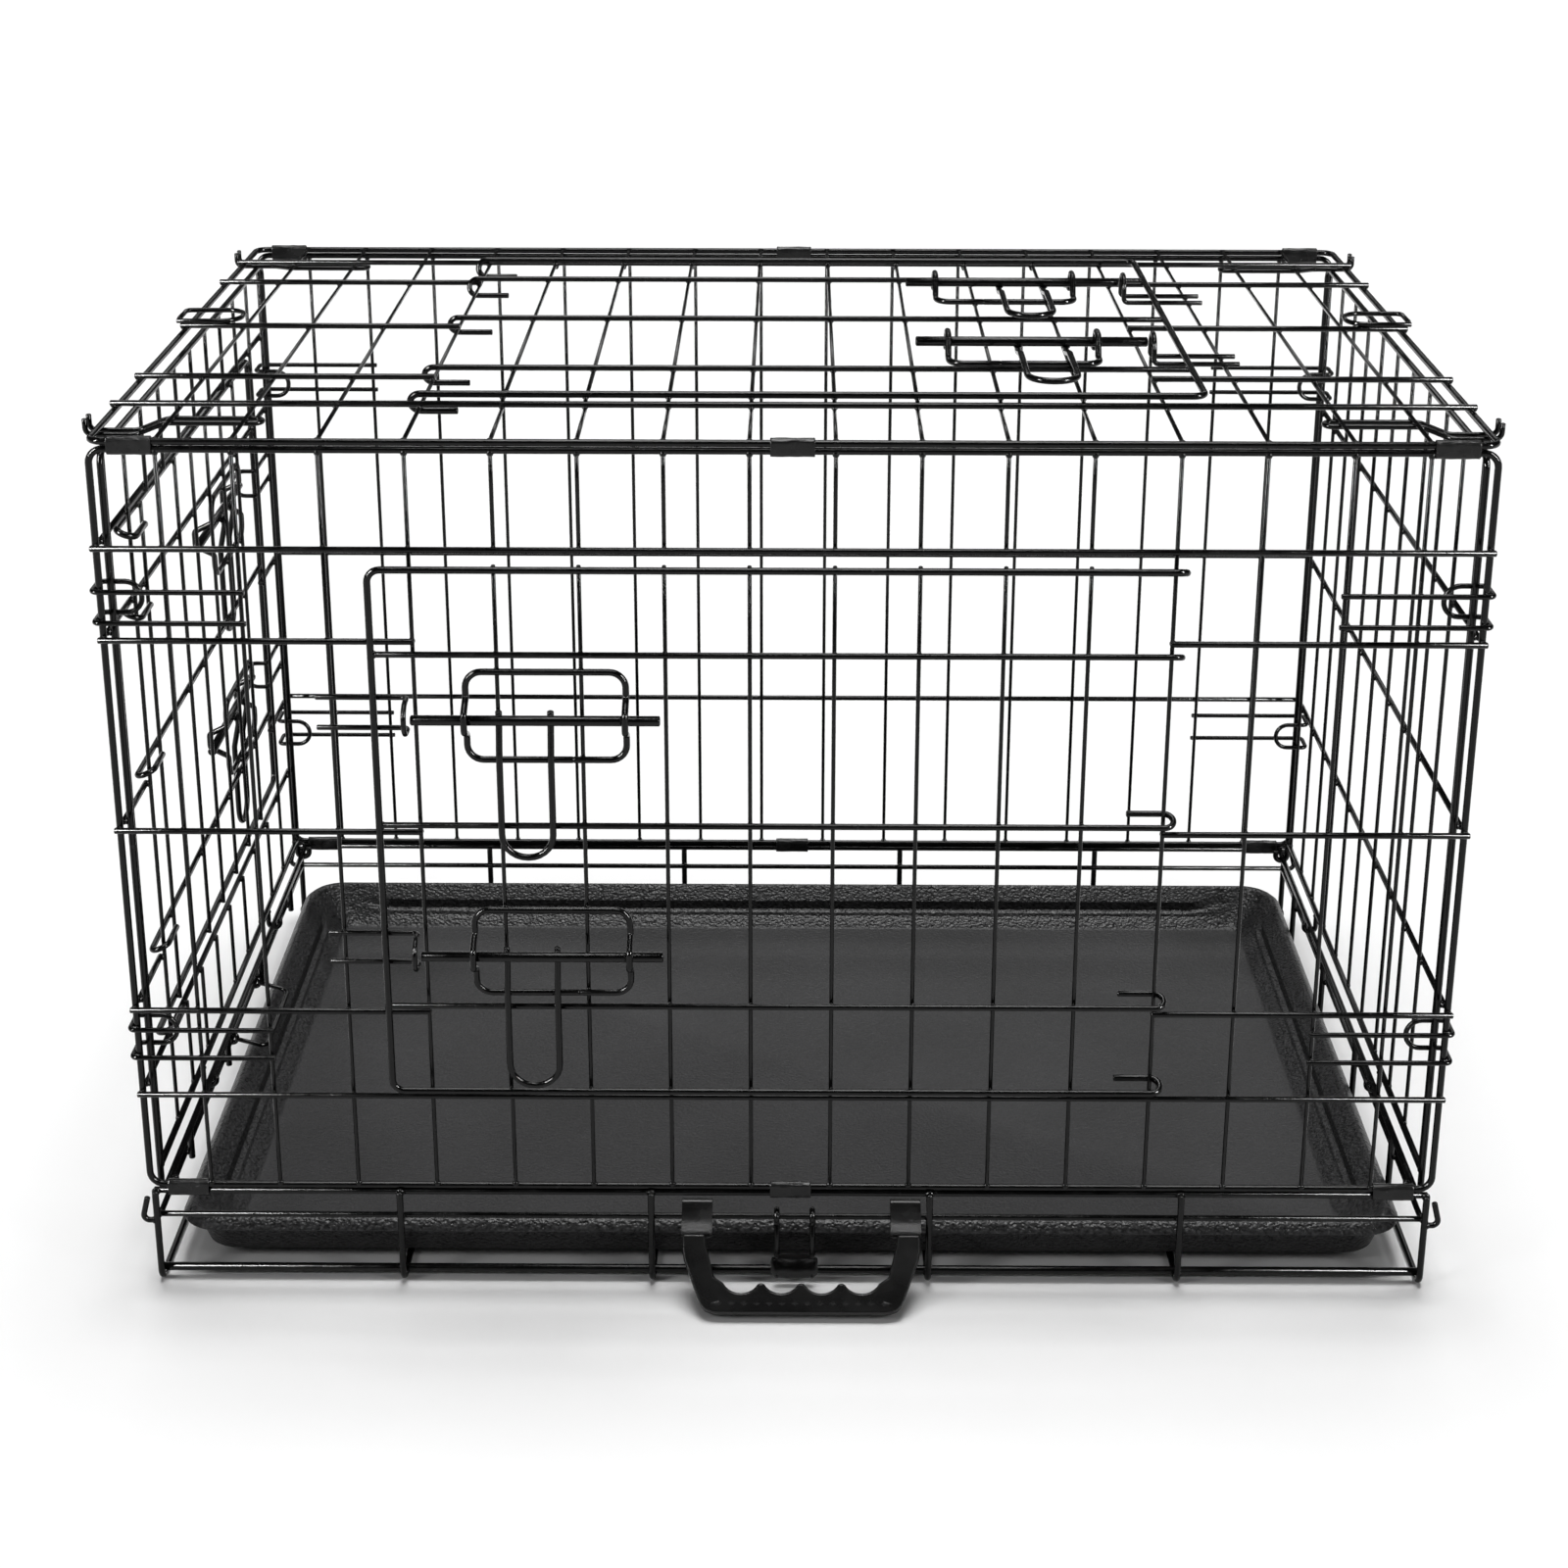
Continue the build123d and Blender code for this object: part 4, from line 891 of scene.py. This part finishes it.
def grip():
    """A moulded grip with finger grooves, rounded edges, a row of studs and a tongue for each strap."""
    place = hanging(HANDLE_X, HANDLE_TILT)
    shoulder, inner, thick = GRIP_TOP_Y, GRIP_INNER_Y, GRIP_HALF_THICK
    outer = [(-70, shoulder), (-70, -20), (-69, -26), (-60.6, -48)]
    corner = [(-58.6, -52.2), (-56, -54.9), (-52, -56.5), (-48, GRIP_BOTTOM_Y)]
    outline = outer + corner
    outline += [(-x, y) for x, y in reversed(corner)] + [(-x, y) for x, y in reversed(outer)]
    outline += [(56.5, shoulder), (56, -17), (51, inner + 6)]
    for i in range(FINGERS):
        middle = ((FINGERS - 1) / 2 - i) * FINGER_PITCH
        for k in range(11):
            t = math.radians(-28 - 12.4 * k)
            outline.append((middle + GROOVE_WIDE * math.cos(t), inner + 7.6 + GROOVE_DEEP * math.sin(t)))
    outline += [(-51, inner + 6), (-56, -17), (-56.5, shoulder)]
    data = bpy.data.meshes.new("carry_grip")
    bm = bmesh.new()
    lower = [bm.verts.new(place((x, y, -thick)) * MM) for x, y in outline]
    upper = [bm.verts.new(place((x, y, thick)) * MM) for x, y in outline]
    bm.faces.new(upper)
    bm.faces.new(lower[::-1])
    n = len(outline)
    for i in range(n):
        bm.faces.new([lower[i], lower[(i + 1) % n], upper[(i + 1) % n], upper[i]])
    bmesh.ops.recalc_face_normals(bm, faces=bm.faces)
    bm.to_mesh(data)
    bm.free()
    data.shade_smooth()
    obj = bpy.data.objects.new("carry_grip", data)
    bpy.context.scene.collection.objects.link(obj)
    bevel = obj.modifiers.new("rounded_edges", "BEVEL")
    bevel.width, bevel.segments = 1.7 * MM, 4
    bevel.limit_method, bevel.angle_limit = "ANGLE", math.radians(40)
    bevel.harden_normals = True
    data.materials.append(GRIP)
    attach(obj, "carry_handle")
    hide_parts("carry_handle_grip")

    mesh = Mesh()
    studs = [((i - (STUDS - 1) / 2) * STUD_PITCH, 3.1, 3.1) for i in range(STUDS)]
    for x, left_reach, right_reach in studs + [(-48.0, 6.5, 2.0), (48.0, 2.0, 6.5)]:
        corners = [(x - left_reach, STUD_Y), (x, STUD_Y - 2.1), (x + right_reach, STUD_Y), (x, STUD_Y + 2.1)]
        mesh.add(
            [place((px, py, thick - 0.3)) for px, py in corners] + [place((x, STUD_Y, thick + 0.75))],
            [[0, 1, 4], [1, 2, 4], [2, 3, 4], [3, 0, 4], [3, 2, 1, 0]])
    for side in (-1, 1):
        tongue = [(sx * 7.8, sy, sz) for sx in (-1, 1) for sy in (-12.5, -2.3) for sz in (-2.0, 2.0)]
        mesh.add([place((side * STRAP_SPREAD + px, py, pz)) for px, py, pz in tongue],
                 [[0, 1, 3, 2], [4, 6, 7, 5], [0, 4, 5, 1], [2, 3, 7, 6], [0, 2, 6, 4], [1, 5, 7, 3]])
    mesh.make("carry_grip_studs", GRIP, "carry_handle", ["carry_handle_grip"], smooth=20)


def straps():
    """Folded sheet with a wide curl above the middle wire, pressed flat on the grip's tongue."""
    mesh = Mesh()
    hollow, half = CROSS / 2 + HINGE_GAP, STRAP_WIDTH / 2

    def face_line(out, lap, radius):
        """One face of the sheet: up its front, round the curl and down its back."""
        heights = (STRAP_LOW, STRAP_LOW + LAP_LENGTH, STRAP_LOW + LAP_LENGTH + 0.8, -1.5, 1.5)
        line = list(zip(heights, (out + lap, out + lap, out, out, out)))
        start = math.asin(min(1.0, out / radius))
        turns = [start + (math.tau - 2 * start) * k / 28 for k in range(29)]
        curl = [(STRAP_CURL - radius * math.cos(t), radius * math.sin(t)) for t in turns]
        return line + curl + [(y, -z) for y, z in reversed(line)]

    for side in (-1, 1):
        place = hanging(HANDLE_X + side * STRAP_SPREAD, HANDLE_TILT)
        rings = []
        for x, inset in ((-half, 0.3), (-half + 0.3, 0.0), (half - 0.3, 0.0), (half, 0.3)):
            outside = face_line(hollow + STRAP_WALL, LAP_RISE, CURL_RADIUS - inset)
            inside = face_line(hollow, 0.0, CURL_RADIUS - STRAP_WALL + inset)
            rings.append([place((x, y, z)) for y, z in outside + inside[::-1]])
        mesh.rings(rings)
    mesh.make("carry_straps", SHEET, "carry_handle", ["carry_handle_straps"], smooth=35)


def wire_loop(mesh, place, legs, reach, diameter):
    """A U of wire whose legs curl round the wire that they hang on."""
    ring = CROSS / 2 + diameter / 2 + HINGE_GAP
    corners = [(legs[0], -ring), (legs[0], -reach), (legs[1], -reach), (legs[1], -ring)]
    mesh.tube([place((x, y, 0)) for x, y in corners], [LOOP_BEND] * 2, diameter)
    for leg in legs:
        turns = [math.radians(t) for t in range(-90, 262, 16)]
        eye = [place((leg, ring * math.sin(t), ring * math.cos(t))) for t in turns]
        mesh.tube(eye, [ring * 0.5] * (len(eye) - 2), diameter)


def suitcase_clip():
    """A loop of wire with a bulging thumb tab, and a rivet-like bump where each leg crosses it."""
    place = hanging(0.0, SUITCASE_TILT)
    mesh = Mesh()
    wire_loop(mesh, place, SUITCASE_LEGS, SUITCASE_REACH, CROSS)
    mesh.make_wire("suitcase_clip_wire", "suitcase_clip", "suitcase_clip")

    mesh = Mesh()
    middle = sum(SUITCASE_LEGS) / 2
    columns, rows = 24, 14

    def plate(u, v, front_side):
        """A point of the tab: rounded corners, and a face that bulges outwards."""
        edge = max(abs(u) ** 5 + abs(v) ** 5, 1e-9) ** 0.2
        size = max(abs(u), abs(v), 1e-9) / edge
        x, y = u * size * TAB_WIDTH / 2, v * size * TAB_HEIGHT / 2
        bulge = (1 - u * u) * (1 - 0.7 * v * v)
        rim_fall = max(0.0, max(abs(u), abs(v)) - 0.86) / 0.14
        z = 1.35 + 1.5 * bulge - 0.9 * rim_fall ** 2 if front_side else 0.25 + 0.4 * bulge
        return place((middle + x, TAB_Y + y, 1.55 + z))

    row = columns + 1
    quads = [
        [j * row + i, j * row + i + 1, (j + 1) * row + i + 1, (j + 1) * row + i]
        for j in range(rows) for i in range(columns)
    ]
    for front_side in (True, False):
        points = [
            plate(2 * i / columns - 1, 2 * j / rows - 1, front_side)
            for j in range(rows + 1) for i in range(row)
        ]
        mesh.add(points, quads if front_side else [f[::-1] for f in quads])
    n = row * (rows + 1)
    loop = list(range(row)) + [j * row + columns for j in range(1, rows + 1)]
    loop += [rows * row + i for i in range(columns - 1, -1, -1)]
    loop += [j * row for j in range(rows - 1, 0, -1)]
    for here, after in zip(loop, loop[1:] + loop[:1]):
        mesh.faces.append([here, n + here, n + after, after])
    for leg in SUITCASE_LEGS:
        for y in (-24.6, -37.0):
            mesh.bead(place((leg, y, 2.4)), (1.5, 1.3, 1.5))
    mesh.make("suitcase_clip_plate", TAB, "suitcase_clip", ["suitcase_clip_tab"])


def pan_stop():
    """A loop of wire that hangs from the left middle wire over the tray's lip."""
    tilt = math.radians(STOP_TILT)
    across, pivot = Vector((0, 1, 0)), Vector((-MID_SIDE_X, 0, BASE_MID_Z))
    away = Vector((math.cos(tilt), 0, -math.sin(tilt)))
    out = Vector((math.sin(tilt), 0, math.cos(tilt)))

    def place(p):
        return pivot + across * p[0] - away * p[1] + out * p[2]

    mesh = Mesh()
    wire_loop(mesh, place, STOP_LEGS, STOP_REACH, CLIP)
    mesh.make_wire("pan_stop_wire", "pan_stop", "pan_stop")


grip()
straps()
suitcase_clip()
pan_stop()


# Floor, light and camera
def floor():
    """A pale plain floor."""
    made, shader, tree = material("studio_floor")
    place = node(tree, "ShaderNodeTexCoord").outputs["Object"]
    cloud = node(tree, "ShaderNodeTexNoise", {"Vector": place, "Scale": 1.5, "Detail": 2.0})
    tree.links.new(grey(tree, cloud.outputs["Fac"], (0.86,) * 3, (0.89,) * 3), shader.inputs["Base Color"])
    shader.inputs["Roughness"].default_value = 0.6
    shader.inputs["Specular IOR Level"].default_value = 0.0
    bpy.ops.mesh.primitive_plane_add(size=30, location=(0, 0, 0))
    plane = bpy.context.object
    plane.name = "floor"
    plane.data.materials.append(made)


def backdrop():
    """A white dome far round the floor, which is seen and neither lights nor shades anything."""
    made, shader, _ = material("studio_backdrop")
    shader.inputs["Base Color"].default_value = (0, 0, 0, 1)
    shader.inputs["Specular IOR Level"].default_value = 0.0
    shader.inputs["Emission Color"].default_value = (1, 1, 1, 1)
    shader.inputs["Emission Strength"].default_value = 1.0
    bpy.ops.mesh.primitive_uv_sphere_add(radius=13, location=(0, 0, 0))
    dome = bpy.context.object
    dome.name = "backdrop"
    dome.data.materials.append(made)
    dome.visible_diffuse = dome.visible_glossy = dome.visible_transmission = dome.visible_shadow = False


def light(name, place, target, size, power, only=None):
    """A softbox. With a collection in only, it gives glints on those pieces and lights nothing else."""
    data = bpy.data.lights.new(name, "AREA")
    data.shape, data.size, data.energy = "RECTANGLE", size[0], power
    data.size_y = size[1]
    obj = bpy.data.objects.new(name, data)
    bpy.context.scene.collection.objects.link(obj)
    obj.location = place
    obj.rotation_euler = (Vector(target) - Vector(place)).to_track_quat("-Z", "Y").to_euler()
    obj.visible_camera = False
    if only:
        obj.visible_diffuse = False
        obj.light_linking.receiver_collection = only


floor()
backdrop()
coated = bpy.data.collections.new("coated_steel")
for obj in bpy.data.objects:
    if obj.type == "MESH" and any(slot.material in (WIRE, SHEET) for slot in obj.material_slots):
        coated.objects.link(obj)
light("left_strip", (-2.0, -1.5, 1.3), (0, 0, 0.25), (0.2, 1.3), 170, coated)
light("right_strip", (2.0, -1.5, 1.3), (0, 0, 0.25), (0.2, 1.3), 150, coated)
light("top_strip", (0.1, -0.9, 2.5), (0, 0, 0.3), (1.6, 0.12), 20, coated)
light("left_softbox", (-2.0, -1.5, 1.6), (0, 0, 0.2), (0.5, 0.9), 10)
light("right_softbox", (2.0, -1.5, 1.6), (0, 0, 0.2), (0.5, 0.9), 8)
light("back_wash", (0, 7.0, 3.6), (0, 7.5, 0), (9.0, 3.0), 190)
sky = bpy.data.objects.new("sky", bpy.data.lights.new("sky", "SUN"))
sky.data.energy, sky.data.angle = 3.2, math.radians(30)
sky.rotation_euler = (math.radians(-9), 0, 0)
bpy.context.scene.collection.objects.link(sky)
world = bpy.data.worlds.new("studio")
bpy.context.scene.world = world
world.use_nodes = True
world.node_tree.nodes["Background"].inputs["Color"].default_value = (1, 1, 1, 1)
world.node_tree.nodes["Background"].inputs["Strength"].default_value = 0.05
bpy.context.scene.view_settings.view_transform = "Standard"

camera = bpy.data.objects.new("camera", bpy.data.cameras.new("camera"))
bpy.context.scene.collection.objects.link(camera)
bpy.context.scene.camera = camera
camera.data.sensor_width, camera.data.lens = 36.0, 60.7
camera.data.shift_y = -0.15
pitch, yaw, roll = math.radians(18.9), math.radians(-0.247), math.radians(0.118)
ahead = Vector((math.sin(yaw) * math.cos(pitch), math.cos(yaw) * math.cos(pitch), -math.sin(pitch)))
across = Vector((math.cos(yaw), -math.sin(yaw), 0))
upward = across.cross(ahead)
turned = across * math.cos(roll) + upward * math.sin(roll)
upward = upward * math.cos(roll) - across * math.sin(roll)
axes = Matrix((turned, upward, -ahead)).transposed().to_4x4()
camera.matrix_world = Matrix.Translation((0.0013, -1.5881, 0.9241)) @ axes
camera.data.clip_start, camera.data.clip_end = 0.05, 60
